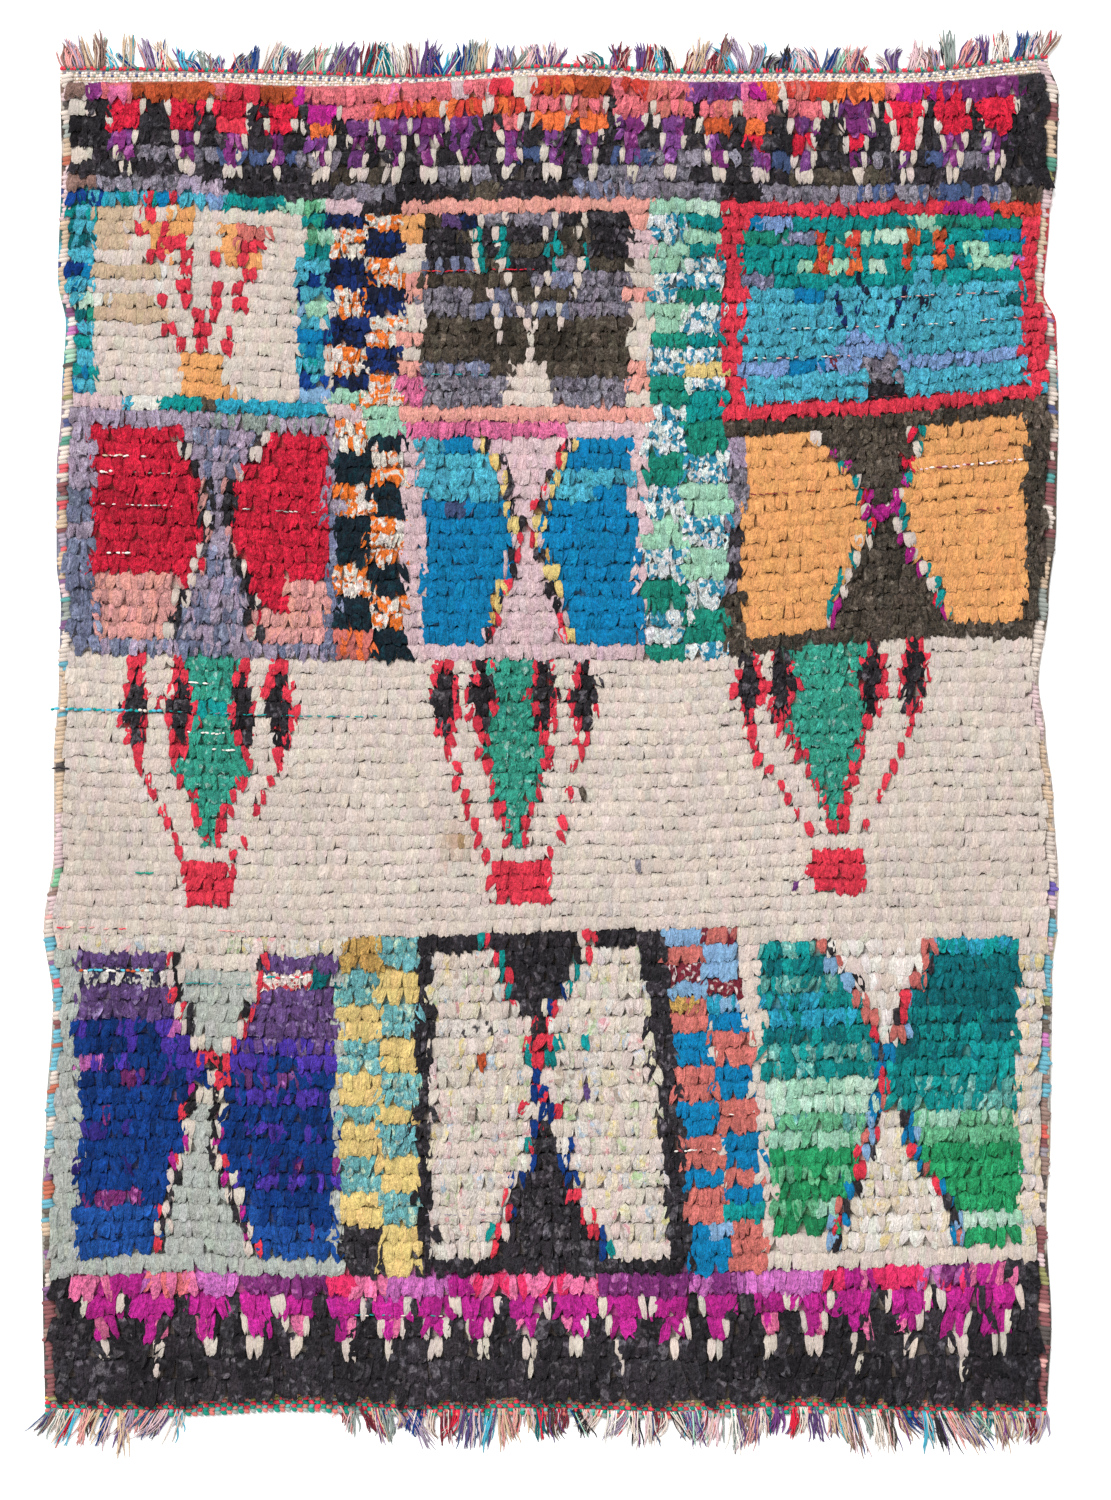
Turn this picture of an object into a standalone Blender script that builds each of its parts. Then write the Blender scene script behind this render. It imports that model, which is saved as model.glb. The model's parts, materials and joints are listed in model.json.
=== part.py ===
"""A knotted rag rug lying flat, in metres, +Z up, with the head of the rug towards +Y.

The rug is one woven piece: a ground cloth with a flat selvedge down each side, a short flat-woven
strip at each end, and rows of rag knots that stand up from it as a lumpy pile. Each end is finished
by a narrow twined edging, from which the warp ends hang out as a fringe of locks.
"""

import math
import random

import bmesh
import bpy
from mathutils import Vector, noise

MM = 0.001

# Heights above the floor
CLOTH_THICKNESS = 4 * MM
PILE_CREST = 16 * MM
PILE_GROOVE = 9.5 * MM
HEIGHTS = {"cloth": CLOTH_THICKNESS, "groove": PILE_GROOVE, "crest": PILE_CREST}

# The pile's unevenness, from one handful of tufts to the next
LUMP_HEIGHT = 2.2 * MM
LUMP_LENGTH = 55 * MM
ROW_WANDER = 2.0 * MM

# The pile's rim, where each row ends in a tuft that lies out over the selvedge
LEFT_SELVEDGE = 13 * MM
RIGHT_SELVEDGE = 11 * MM
TUFT_OVERHANG = 6 * MM
RIM_SLOPE = 3 * MM
RIM_SHARE = 0.72
SHOULDER = 13 * MM

# How far down a knot row its crest is, as a share of the row
CREST_DROP = 0.56

# The fold that was pressed down the middle of the rug while it was stored
FOLD_HEIGHT = 3.0 * MM
FOLD_HALF_WIDTH = 17 * MM
FOLD_AT_HEAD = 15 * MM
FOLD_AT_FOOT = -9 * MM

INNER_COLUMNS = 13

# The twined edgings and their fringes
GAP = 0.3 * MM
HEAD_EDGING_WIDTH = 10 * MM
FOOT_EDGING_WIDTH = 16 * MM
EDGING_THICKNESS = 5 * MM
LOCK_SPACING = 14 * MM
LOCK_WAIST_SHARE = 0.42
LOCK_TIP_SHARE = 0.16
LOCK_WAIST_AT = 0.45
LOCK_WAIST_THICKNESS = 3.8 * MM
LOCK_TIP_THICKNESS = 1.4 * MM
LOCK_SWAY = 3.5 * MM
LOCK_LENGTH_SPREAD = 0.3
LEAST_LOCK = 8 * MM

# Down each side, in millimetres: how far up the rug, and where its edge is across it
LEFT_EDGE = [
    # height, place
    (958, -687),
    (822, -685),
    (654, -690),
    (598, -679),
    (486, -685),
    (388, -692),
    (262, -692),
    (206, -686),
    (94, -689),
    (-18, -696),
    (-144, -696),
    (-249, -710),
    (-354, -697),
    (-522, -707),
    (-634, -713),
    (-774, -711),
    (-927, -708),
]
RIGHT_EDGE = [
    # height, place
    (969, 694),
    (920, 710),
    (822, 708),
    (745, 697),
    (640, 689),
    (598, 707),
    (486, 710),
    (318, 707),
    (206, 696),
    (94, 682),
    (24, 692),
    (-74, 703),
    (-186, 710),
    (-249, 708),
    (-305, 701),
    (-522, 699),
    (-662, 693),
    (-802, 700),
    (-927, 694),
]

# Weft lines that part one band of the design from the next, in millimetres up the rug at nine
# places evenly spaced from the left edge to the right, with the knot rows between each and the next
WEFT_LINES = [
    # rows below it, heights from left to right
    (0, (948, 946, 942, 938, 952, 944, 945, 946, 965)),
    (7, (931, 935, 928, 934, 944, 935, 935, 934, 948)),
    (15, (785, 784, 773, 773, 776, 773, 769, 771, 767)),
    (15, (482, 477, 468, 463, 463, 463, 469, 479, 501)),
    (19, (140, 136, 129, 129, 130, 130, 146, 161, 161)),
    (20, (-252, -255, -259, -256, -249, -246, -238, -235, -234)),
    (6, (-735, -724, -731, -731, -729, -729, -722, -715, -708)),
    (0, (-906, -909, -900, -909, -904, -910, -903, -909, -909)),
    (0, (-910, -911, -904, -911, -909, -914, -907, -913, -914)),
]
HEAD_LINE = 0
PILE_START = 1
PILE_END = 7
FOOT_LINE = 8

# The fringe along each end, from the left edge (0) to the right (1): how long its locks are and how
# far their tips lean to the right, in millimetres. Where the length is 0 the warp ends are worn away.
HEAD_FRINGE = [
    # share across, length, lean
    (0.00, 36, -14),
    (0.03, 46, 8),
    (0.07, 42, -12),
    (0.12, 34, -9),
    (0.16, 20, 0),
    (0.21, 40, 6),
    (0.28, 42, 5),
    (0.36, 40, 3),
    (0.44, 38, 4),
    (0.50, 30, 6),
    (0.506, 0, 0),
    (0.522, 0, 0),
    (0.53, 26, -4),
    (0.60, 36, 2),
    (0.68, 44, 4),
    (0.76, 38, 3),
    (0.818, 28, 4),
    (0.822, 0, 0),
    (0.832, 0, 0),
    (0.84, 38, -6),
    (0.90, 40, 2),
    (0.96, 40, 12),
    (1.00, 34, 20),
]
FOOT_FRINGE = [
    # share across, length, lean
    (0.00, 30, -18),
    (0.04, 52, -16),
    (0.10, 50, -10),
    (0.135, 30, -8),
    (0.14, 0, 0),
    (0.29, 0, 0),
    (0.295, 30, 10),
    (0.34, 48, 4),
    (0.42, 50, 3),
    (0.50, 38, 0),
    (0.56, 40, 3),
    (0.64, 46, 5),
    (0.72, 54, 6),
    (0.80, 60, 12),
    (0.88, 50, 14),
    (0.95, 52, 16),
    (1.00, 44, 12),
]


def through(first, second, third, fourth, share):
    """The value at a share of the way from second to third on a smooth curve through all four."""
    linear = third - first
    square = 2 * first - 5 * second + 4 * third - fourth
    cube = 3 * second - 3 * third + fourth - first
    return second + 0.5 * share * (linear + share * (square + share * cube))


def smooth_through(values, place):
    """The height of a smooth curve through evenly spaced values, at a place counted in values."""
    last = len(values) - 1
    index = min(int(place), last - 1)
    near = [values[min(max(index + step, 0), last)] for step in (-1, 0, 1, 2)]
    return through(*near, place - index)


def eased(table, height):
    """A side edge's place at a height, eased between the rows of its table, in metres."""
    millimetres = height / MM
    if millimetres >= table[0][0]:
        return table[0][1] * MM
    for (upper, start), (lower, end) in zip(table, table[1:]):
        if millimetres >= lower:
            share = (upper - millimetres) / (upper - lower)
            return (start + (end - start) * share * share * (3 - 2 * share)) * MM
    return table[-1][1] * MM


def between(table, share, column):
    """A column of a fringe table at a share of the way across, straight between its rows."""
    for lower, upper in zip(table, table[1:]):
        if share <= upper[0]:
            part = (share - lower[0]) / (upper[0] - lower[0])
            return lower[column] + (upper[column] - lower[column]) * part
    return table[-1][column]


def line_height(line, share):
    """How far up the rug a weft line is, at a share of the way from the left edge to the right."""
    heights = WEFT_LINES[line][1]
    return smooth_through(heights, share * (len(heights) - 1)) * MM


def weft_height(line, part, share):
    """The same for a weft that is a part of the way from one weft line to the next."""
    upper = line_height(line, share)
    if part == 0:
        return upper
    return upper + (line_height(line + 1, share) - upper) * part


def lump(place, salt):
    """A smooth unevenness from -1 to 1, different for each salt."""
    return noise.noise(Vector((place.x / LUMP_LENGTH, place.y / LUMP_LENGTH, salt * 7.3)))


def fold_place(height):
    """Where across the rug the stored fold runs, at a height up the rug."""
    head = line_height(HEAD_LINE, 0.5)
    foot = line_height(FOOT_LINE, 0.5)
    return FOLD_AT_HEAD + (FOLD_AT_FOOT - FOLD_AT_HEAD) * (head - height) / (head - foot)


def fold_rise(place):
    """How much the stored fold lifts the pile at a place."""
    return FOLD_HEIGHT * math.exp(-(((place.x - fold_place(place.y)) / FOLD_HALF_WIDTH) ** 2))


def weft_rows():
    """Every line of points down the rug: (weft line, part of the way to the next, what it is)."""
    rows = [(HEAD_LINE, 0.0, "cloth"), (HEAD_LINE, 0.8, "cloth")]
    for line in range(PILE_START, PILE_END):
        knots = WEFT_LINES[line][0]
        for knot in range(knots):
            rows.append((line, knot / knots, "groove"))
            rows.append((line, (knot + CREST_DROP) / knots, "crest"))
    rows.append((PILE_END, 0.0, "groove"))
    rows.append((PILE_END, 0.6, "cloth"))
    rows.append((FOOT_LINE, 0.0, "cloth"))
    return rows


def inner_shares(left, right, fold):
    """How far across the inner points of a row are: evenly spaced, but for three over the fold."""
    spaces = INNER_COLUMNS + 1
    shares = [column / spaces for column in range(1, spaces) if column != spaces // 2]
    for offset in (-FOLD_HALF_WIDTH, 0, FOLD_HALF_WIDTH):
        shares.append((fold + offset - left) / (right - left))
    return sorted(shares)


def side_points(end, inwards, selvedge, kind):
    """The points of a line from one edge of the cloth, over its selvedge and up onto the pile."""
    tall = HEIGHTS[kind]
    rim = selvedge
    if kind == "crest":
        rim -= TUFT_OVERHANG * (0.6 + 0.4 * lump(end, 3))
    steps = [
        # distance from the edge, height
        (0, CLOTH_THICKNESS),
        (rim, CLOTH_THICKNESS),
        (rim + RIM_SLOPE, max(tall * RIM_SHARE, CLOTH_THICKNESS)),
        (rim + SHOULDER, tall),
    ]
    return [Vector((end.x + inwards * step, end.y, height)) for step, height in steps]


def row_points(line, part, kind):
    """The points of one line across the rug, from the left edge to the right."""
    left_height = weft_height(line, part, 0)
    right_height = weft_height(line, part, 1)
    left = Vector((eased(LEFT_EDGE, left_height), left_height, 0))
    right = Vector((eased(RIGHT_EDGE, right_height), right_height, 0))
    inner = []
    for share in inner_shares(left.x, right.x, fold_place(weft_height(line, part, 0.5))):
        across = left.x + (right.x - left.x) * share
        inner.append(Vector((across, weft_height(line, part, share), HEIGHTS[kind])))
    row = side_points(left, 1, LEFT_SELVEDGE, kind)
    row += inner
    row += reversed(side_points(right, -1, RIGHT_SELVEDGE, kind))
    if kind != "cloth":
        for point in row[2:-2]:
            point.z += LUMP_HEIGHT * lump(point, 1) + fold_rise(point)
            point.y += ROW_WANDER * lump(point, 2)
    return row


def make_material(name, colour, roughness):
    material = bpy.data.materials.new(name)
    material.use_nodes = True
    shader = material.node_tree.nodes["Principled BSDF"]
    shader.inputs["Base Color"].default_value = (*colour, 1)
    shader.inputs["Roughness"].default_value = roughness
    shader.inputs["Metallic"].default_value = 0
    return material


def add_object(name, shape, material, collection):
    mesh = bpy.data.meshes.new(name)
    bmesh.ops.recalc_face_normals(shape, faces=shape.faces)
    shape.to_mesh(mesh)
    shape.free()
    mesh.materials.append(material)
    item = bpy.data.objects.new(name, mesh)
    collection.objects.link(item)
    return item


def make_rug(material, collection):
    """The woven piece: a grid laid over the weft rows, walled down to the floor and closed below."""
    rows = [row_points(*row) for row in weft_rows()]
    across = len(rows[0])
    shape = bmesh.new()
    bmesh.ops.create_grid(shape, x_segments=across - 1, y_segments=len(rows) - 1, size=0.5)
    shape.verts.ensure_lookup_table()
    for index, vert in enumerate(shape.verts):
        vert.co = rows[index // across][index % across]
    rim = [edge for edge in shape.edges if edge.is_boundary]
    walls = bmesh.ops.extrude_edge_only(shape, edges=rim)["geom"]
    for item in walls:
        if isinstance(item, bmesh.types.BMVert):
            item.co.z = 0
    floor_edges = [item for item in walls if isinstance(item, bmesh.types.BMEdge)]
    bmesh.ops.contextual_create(shape, geom=[edge for edge in floor_edges if edge.is_boundary])
    return add_object("rug_cloth", shape, material, collection)


def lock_ends(row):
    """Where the locks of a fringe part, along a row of the cloth: at each of its points and evenly
    between them."""
    ends = [row[0]]
    for start, end in zip(row, row[1:]):
        locks = max(1, round((end - start).length / LOCK_SPACING))
        ends += [start.lerp(end, (index + 1) / locks) for index in range(locks)]
    return ends


def grow_lock(shape, face, outwards, length, lean, draw):
    """One lock of fringe: the edging's outer face drawn out to a waist and then to a thin tip."""
    root = face.calc_center_median()
    width = face.calc_area() / EDGING_THICKNESS
    sway = draw.uniform(-LOCK_SWAY, LOCK_SWAY)
    stages = [
        (LOCK_WAIST_AT, LOCK_WAIST_SHARE * width, LOCK_WAIST_THICKNESS, 0.3 * lean),
        (1.0, LOCK_TIP_SHARE * width, LOCK_TIP_THICKNESS, lean + sway),
    ]
    for along, wide, thick, shift in stages:
        face = bmesh.ops.extrude_discrete_faces(shape, faces=[face])["faces"][0]
        middle = Vector((root.x + shift, root.y + outwards * along * length, 0))
        before = face.calc_center_median()
        for vert in face.verts:
            side = 1 if vert.co.x > before.x else -1
            top = vert.co.z > before.z
            vert.co = middle + Vector((side * wide / 2, 0, thick if top else 0))


def make_fringed_edging(name, line, outwards, width, fringe, seed, material, collection):
    """A twined edging along one end of the rug, with the warp ends hanging out of it in locks."""
    draw = random.Random(seed)
    ends = lock_ends(row_points(line, 0, "cloth"))
    across = len(ends)
    shape = bmesh.new()
    bmesh.ops.create_grid(shape, x_segments=across - 1, y_segments=1, size=0.5)
    shape.verts.ensure_lookup_table()
    for index, vert in enumerate(shape.verts):
        distance = (GAP, width)[index // across]
        end = ends[index % across]
        vert.co = (end.x, end.y + outwards * distance, 0)
    top = bmesh.ops.extrude_face_region(shape, geom=shape.faces[:])["geom"]
    for item in top:
        if isinstance(item, bmesh.types.BMVert):
            item.co.z = EDGING_THICKNESS
    bmesh.ops.recalc_face_normals(shape, faces=shape.faces)
    outer = [
        face
        for face in shape.faces
        if face.normal.y * outwards > 0.5 and abs(face.normal.z) < 0.1
    ]
    outer.sort(key=lambda face: face.calc_center_median().x)
    for index, face in enumerate(outer):
        share = (index + 0.5) / len(outer)
        length = between(fringe, share, 1) * MM
        if length < LEAST_LOCK:
            continue
        length *= draw.uniform(1 - LOCK_LENGTH_SPREAD, 1)
        grow_lock(shape, face, outwards, length, between(fringe, share, 2) * MM, draw)
    return add_object(name, shape, material, collection)


def centre_over_origin(items):
    """Moves every piece alike, so that the whole rug is centred on the origin and stands on it."""
    corners = [vert.co for item in items for vert in item.data.vertices]
    middle = Vector(
        [
            (min(corner[axis] for corner in corners) + max(corner[axis] for corner in corners)) / 2
            for axis in (0, 1)
        ]
        + [0]
    )
    for item in items:
        for vert in item.data.vertices:
            vert.co -= middle


def main():
    for item in list(bpy.data.objects):
        bpy.data.objects.remove(item)
    collection = bpy.data.collections.new("rag_rug")
    bpy.context.scene.collection.children.link(collection)
    rags = make_material("rag_pile", (0.66, 0.58, 0.52), 0.95)
    yarn = make_material("fringe_yarn", (0.52, 0.38, 0.38), 0.9)
    rug = make_rug(rags, collection)
    head = make_fringed_edging(
        "head_fringe", HEAD_LINE, 1, HEAD_EDGING_WIDTH, HEAD_FRINGE, 3, yarn, collection
    )
    foot = make_fringed_edging(
        "foot_fringe", FOOT_LINE, -1, FOOT_EDGING_WIDTH, FOOT_FRINGE, 8, yarn, collection
    )
    centre_over_origin([rug, head, foot])


main()
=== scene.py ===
"""A hand-knotted rag rug lying flat on a pale floor, seen from straight above.

The rug is worked out in loom coordinates: millimetres across and up the cloth, with knot rows
counted from the head. Every tuft of the pile is one petal of torn cloth, and the design is a chart
that says which rag each tuft is torn from.
"""

import json
import math

import bmesh
import bpy
import numpy as np
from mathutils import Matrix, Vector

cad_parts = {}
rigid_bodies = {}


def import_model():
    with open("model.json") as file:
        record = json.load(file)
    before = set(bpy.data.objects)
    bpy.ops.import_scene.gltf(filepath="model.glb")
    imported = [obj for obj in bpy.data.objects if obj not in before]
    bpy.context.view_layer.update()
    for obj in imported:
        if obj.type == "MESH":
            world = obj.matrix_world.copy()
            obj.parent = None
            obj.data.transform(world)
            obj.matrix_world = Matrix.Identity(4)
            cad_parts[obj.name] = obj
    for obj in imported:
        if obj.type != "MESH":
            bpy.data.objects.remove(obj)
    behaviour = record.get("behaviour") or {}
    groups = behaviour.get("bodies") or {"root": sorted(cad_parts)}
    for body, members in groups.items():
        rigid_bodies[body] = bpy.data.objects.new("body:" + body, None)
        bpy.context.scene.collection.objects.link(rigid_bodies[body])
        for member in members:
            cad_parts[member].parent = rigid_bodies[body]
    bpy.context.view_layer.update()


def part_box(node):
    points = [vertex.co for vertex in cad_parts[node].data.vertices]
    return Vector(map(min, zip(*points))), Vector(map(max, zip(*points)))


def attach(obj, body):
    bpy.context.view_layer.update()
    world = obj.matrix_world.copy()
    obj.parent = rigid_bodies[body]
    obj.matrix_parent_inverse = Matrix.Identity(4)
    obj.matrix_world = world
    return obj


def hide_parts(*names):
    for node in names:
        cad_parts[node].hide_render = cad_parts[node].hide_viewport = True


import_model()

bl_info = {
    "name": "Knotted Rag Rug",
    "version": (1, 0, 0),
    "blender": (4, 5, 0),
    "location": "3D View > Sidebar > Rag Rug",
    "description": "Weaves a panelled rag rug tuft by tuft, with its selvedges, twined ends and fringes",
    "category": "Add Mesh",
}

MM = 0.001

# Down each side: how far up the rug, and where its edge is across it
LEFT_EDGE = [
    (958, -687), (822, -685), (654, -690), (598, -679), (486, -685), (388, -692), (262, -692),
    (206, -686), (94, -689), (-18, -696), (-144, -696), (-249, -710), (-354, -697), (-522, -707),
    (-634, -713), (-774, -711), (-927, -708),
]
RIGHT_EDGE = [
    (969, 694), (920, 710), (822, 708), (745, 697), (640, 689), (598, 707), (486, 710), (318, 707),
    (206, 696), (94, 682), (24, 692), (-74, 703), (-186, 710), (-249, 708), (-305, 701),
    (-522, 699), (-662, 693), (-802, 700), (-927, 694),
]

# Weft lines between the bands of the design: the knot row that starts there, and how far up the
# rug the line is at nine places evenly spaced from the left edge to the right
WEFT_LINES = [
    (-1, (948, 946, 942, 938, 952, 944, 945, 946, 965)),
    (0, (931, 935, 928, 934, 944, 935, 935, 934, 948)),
    (7, (785, 784, 773, 773, 776, 773, 769, 771, 767)),
    (22, (482, 477, 468, 463, 463, 463, 469, 479, 501)),
    (37, (140, 136, 129, 129, 130, 130, 146, 161, 161)),
    (56, (-252, -255, -259, -256, -249, -246, -238, -235, -234)),
    (76, (-735, -724, -731, -731, -729, -729, -722, -715, -708)),
    (82, (-906, -909, -900, -909, -904, -910, -903, -909, -909)),
    (83, (-910, -911, -904, -911, -909, -914, -907, -913, -914)),
]
LINE_ROWS = np.array([line[0] for line in WEFT_LINES])
LINE_HEIGHTS = np.array([line[1] for line in WEFT_LINES], float)
KNOT_ROWS = 82
# The rows where the cloth ends, and how far down a row its crest is
HEAD_ROW, FOOT_ROW = -1.0, 83.0
CREST = 0.56
HEAD_BORDER, UPPER, MIDDLE, CREAM_BAND, LOWER, FOOT_BORDER = range(6)
BANDS = "head_border upper_panels middle_panels cream_band lower_panels foot_border"
BAND_NAMES = [f"pile_{band}" for band in BANDS.split()]
# How much further apart the tufts of a band are than the settings say
WIDENING = np.array([1.15, 1.0, 1.0, 1.0, 1.0, 1.3])

# Across the rug's edges and ends, in millimetres
SELVEDGE = 17.0
OVERHANG = 6.0
HEAD_EDGING = 10.0
FOOT_EDGING = 16.0

# The fold that was pressed down the middle while the rug was stored
FOLD_AT_HEAD = 15.0
FOLD_AT_FOOT = -9.0
FOLD_HALF_WIDTH = 17.0
FOLD_HEIGHT = 3.0
CLOTH_FOOT = -910
CLOTH_LENGTH = 1860

# The fringes, from the left edge (0) to the right (1): share across, length, and lean to the right
HEAD_FRINGE = [
    (0.00, 36, -14), (0.03, 46, 8), (0.07, 42, -12), (0.12, 34, -9), (0.16, 20, 0), (0.21, 40, 6),
    (0.28, 42, 5), (0.36, 40, 3), (0.44, 38, 4), (0.50, 30, 6), (0.506, 0, 0), (0.522, 0, 0),
    (0.53, 26, -4), (0.60, 36, 2), (0.68, 44, 4), (0.76, 38, 3), (0.818, 28, 4), (0.822, 0, 0),
    (0.832, 0, 0), (0.84, 38, -6), (0.90, 40, 2), (0.96, 40, 12), (1.00, 34, 20),
]
FOOT_FRINGE = [
    (0.00, 38, -22), (0.04, 55, -24), (0.10, 54, -22), (0.135, 40, -18), (0.14, 0, 0), (0.29, 0, 0),
    (0.295, 30, 10), (0.34, 48, 4), (0.42, 50, 3), (0.50, 38, 0), (0.56, 40, 3), (0.64, 46, 5),
    (0.72, 54, 6), (0.80, 60, 12), (0.88, 50, 14), (0.95, 52, 16), (1.00, 44, 12),
]

# The rags: colour, spread of its tone, and how crisply it creases, which also sets the painted crease
# shade and bump of its material where no value is listed below
RAGS = {
    "cream": ("dccdc2", 0.05, 0.18), "white": ("e9e2da", 0.05, 0.2), "tan": ("cdb296", 0.06, 0.25),
    "flecked": ("dacec3", 0.05, 0.4), "flecked_rose": ("dccbc2", 0.05, 0.4),
    "flecked_sage": ("d6cfbe", 0.05, 0.4), "flecked_sky": ("d8cfc8", 0.05, 0.4),
    "flecked_gold": ("dccfb8", 0.05, 0.4), "flecked_coal": ("d9cfc6", 0.05, 0.4),
    "crimson": ("d4243f", 0.16, 1), "red": ("e23c4f", 0.11, 0.8), "redorange": ("d8483c", 0.06, 1),
    "rust": ("b5502e", 0.14, 1), "orange": ("ec7240", 0.12, 1), "coral": ("cd726a", 0.12, 0.7),
    "salmon": ("e9a396", 0.06, 0.45), "rose": ("dd9d98", 0.12, 0.7),
    "peach": ("eba76a", 0.05, 0.36), "yellow": ("e6c983", 0.06, 0.5), "ochre": ("c8a05c", 0.08, 1),
    "pink": ("e0719c", 0.12, 1), "coral_pink": ("e2737c", 0.14, 1), "hot_pink": ("e43468", 0.12, 1),
    "magenta": ("b8278a", 0.16, 1), "lilac": ("c56bb5", 0.12, 1), "plum": ("7a2f70", 0.2, 1),
    "maroon": ("7a2a38", 0.08, 1), "blush": ("d9bcc0", 0.06, 0.4), "purple": ("753f80", 0.2, 1),
    "heather_purple": ("64497c", 0.2, 1), "violet": ("5038a8", 0.16, 1),
    "royal": ("103a80", 0.22, 1), "midblue": ("1f509c", 0.18, 1), "indigo": ("33287a", 0.2, 1),
    "ink_blue": ("17242e", 0.2, 1), "greyteal": ("5fa69e", 0.14, 1), "navy": ("1a2036", 0.16, 1),
    "blue": ("087fb4", 0.07, 0.72), "skyblue": ("86aed2", 0.06, 0.5),
    "periwinkle": ("7f9fd0", 0.08, 1), "turquoise": ("4fafc6", 0.12, 1),
    "pale_turquoise": ("74b6ba", 0.12, 1), "cyan": ("2fa3c0", 0.07, 1), "teal": ("10908f", 0.15, 1),
    "deepteal": ("036b72", 0.14, 1), "seagreen": ("1f8d78", 0.14, 1),
    "dropgreen": ("3aa08a", 0.13, 1), "brightgreen": ("2a9a62", 0.18, 1),
    "grassy": ("6cb98c", 0.14, 1), "mint": ("a0cfb5", 0.06, 0.6), "palemint": ("c3e0cd", 0.05, 0.5),
    "sage": ("b4b8b1", 0.05, 0.45), "greygreen": ("8f9a94", 0.08, 1),
    "lavender": ("a797ac", 0.14, 1), "heather": ("8a8390", 0.2, 1), "slate": ("787d98", 0.18, 1),
    "denim": ("4a5a82", 0.12, 1), "olive": ("4c433a", 0.3, 1), "mossy": ("8a8a4a", 0.1, 1),
    "brown": ("4c433a", 0.3, 1), "dusty_brown": ("8d6f66", 0.08, 1), "coal": ("2d292e", 0.36, 1),
    "orange_print": ("e6dcd2", 0.05, 1), "teal_print": ("dfe4e2", 0.05, 1),
    "navy_print": ("d9d2cc", 0.06, 1), "red_print": ("e4d3cb", 0.06, 1),
    "maroon_print": ("7a2a38", 0.06, 1),
}
# The print on some rags: colour, and how much of the rag it covers
PRINTS = {
    "flecked": ("b9a79a", 0.3), "flecked_rose": ("d9a4a4", 0.28), "flecked_sage": ("b6c49a", 0.28),
    "flecked_sky": ("b4c0cc", 0.28), "flecked_gold": ("dcc890", 0.3),
    "flecked_coal": ("4b474b", 0.22), "plum": ("ad5f9f", 0.25), "purple": ("9f66a6", 0.25),
    "heather_purple": ("917ca6", 0.24), "ink_blue": ("12323c", 0.35), "greyteal": ("93c4bb", 0.3),
    "navy": ("1b3069", 0.5), "pale_turquoise": ("b9d0bb", 0.35), "dropgreen": ("93c0b2", 0.14),
    "lavender": ("b9abbd", 0.25), "heather": ("5d5964", 0.4), "slate": ("989eb6", 0.28),
    "olive": ("665c52", 0.25), "brown": ("6b6056", 0.28), "coal": ("565157", 0.3),
    "orange_print": ("f07a30", 0.46), "teal_print": ("2f8fae", 0.42),
    "navy_print": ("3a3550", 0.52), "red_print": ("c8404a", 0.5), "maroon_print": ("e2d2cc", 0.3),
}
# Rags whose creases get deeper painted shade and deeper bumps in their material than their shape has
CREASE_SHADE_AND_BUMP = {"coal": 2.6, "brown": 3.0, "olive": 2.0, "heather": 1.6, "ink_blue": 1.8, "crimson": 1.4}
RAG_NAMES = list(RAGS)
FLECKS = "flecked+flecked_rose+flecked_sage+flecked_sky+flecked_gold+cream+cream"


def colour_of(code):
    """The light that a hexadecimal screen colour stands for, as three linear shares."""
    shares = np.array([int(code[place : place + 2], 16) / 255 for place in (0, 2, 4)])
    return np.where(shares <= 0.04045, shares / 12.92, ((shares + 0.055) / 1.055) ** 2.4)


WARP_YARN = colour_of("b9a48f")
WORN_YARN = colour_of("a89a90")
RAG_COLOURS = np.array([colour_of(rag[0]) for rag in RAGS.values()])
TONE_SPREADS, CRISPNESS = np.array([rag[1:] for rag in RAGS.values()]).T
INKS = [PRINTS.get(name, (rag[0], 0.0)) for name, rag in RAGS.items()]
INK_COLOURS = np.array([colour_of(ink[0]) for ink in INKS])
INK_SHARES = np.array([ink[1] for ink in INKS])
RAG_CREASE_SHADE_AND_BUMP = np.array([CREASE_SHADE_AND_BUMP.get(name, crisp) for name, crisp in zip(RAGS, CRISPNESS)])


def side_edge(table, height):
    """Where a side edge is across the rug, at heights up it, eased between the table's rows."""
    rows = np.array(table[::-1], float)
    height = np.clip(height, rows[0, 0], rows[-1, 0])
    index = np.clip(np.searchsorted(rows[:, 0], height, side="right") - 1, 0, len(rows) - 2)
    share = (height - rows[index, 0]) / (rows[index + 1, 0] - rows[index, 0])
    eased = share * share * (3 - 2 * share)
    return rows[index, 1] + (rows[index + 1, 1] - rows[index, 1]) * eased


def line_height(line, share):
    """How far up the rug a weft line is, on a smooth curve through its nine heights."""
    last = LINE_HEIGHTS.shape[1] - 1
    place = np.clip(share, 0, 1) * last
    index = np.minimum(place.astype(int), last - 1)
    part = place - index
    near = [LINE_HEIGHTS[line, np.clip(index + step, 0, last)] for step in (-1, 0, 1, 2)]
    linear = near[2] - near[0]
    square = 2 * near[0] - 5 * near[1] + 4 * near[2] - near[3]
    cube = 3 * near[1] - 3 * near[2] + near[3] - near[0]
    return near[1] + 0.5 * part * (linear + part * (square + part * cube))


def weft_height(row, share):
    """How far up the rug a weft is, from its knot row and its share of the way across."""
    row, share = np.broadcast_arrays(np.asarray(row, float), np.asarray(share, float))
    line = np.clip(np.searchsorted(LINE_ROWS, row, side="right") - 1, 0, len(LINE_ROWS) - 2)
    part = (row - LINE_ROWS[line]) / (LINE_ROWS[line + 1] - LINE_ROWS[line])
    upper = line_height(line, share)
    return upper + (line_height(line + 1, share) - upper) * part


def row_ends(row):
    """Where a row starts and ends across the rug."""
    left = side_edge(LEFT_EDGE, weft_height(row, 0.0))
    right = side_edge(RIGHT_EDGE, weft_height(row, 1.0))
    return left, right


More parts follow.
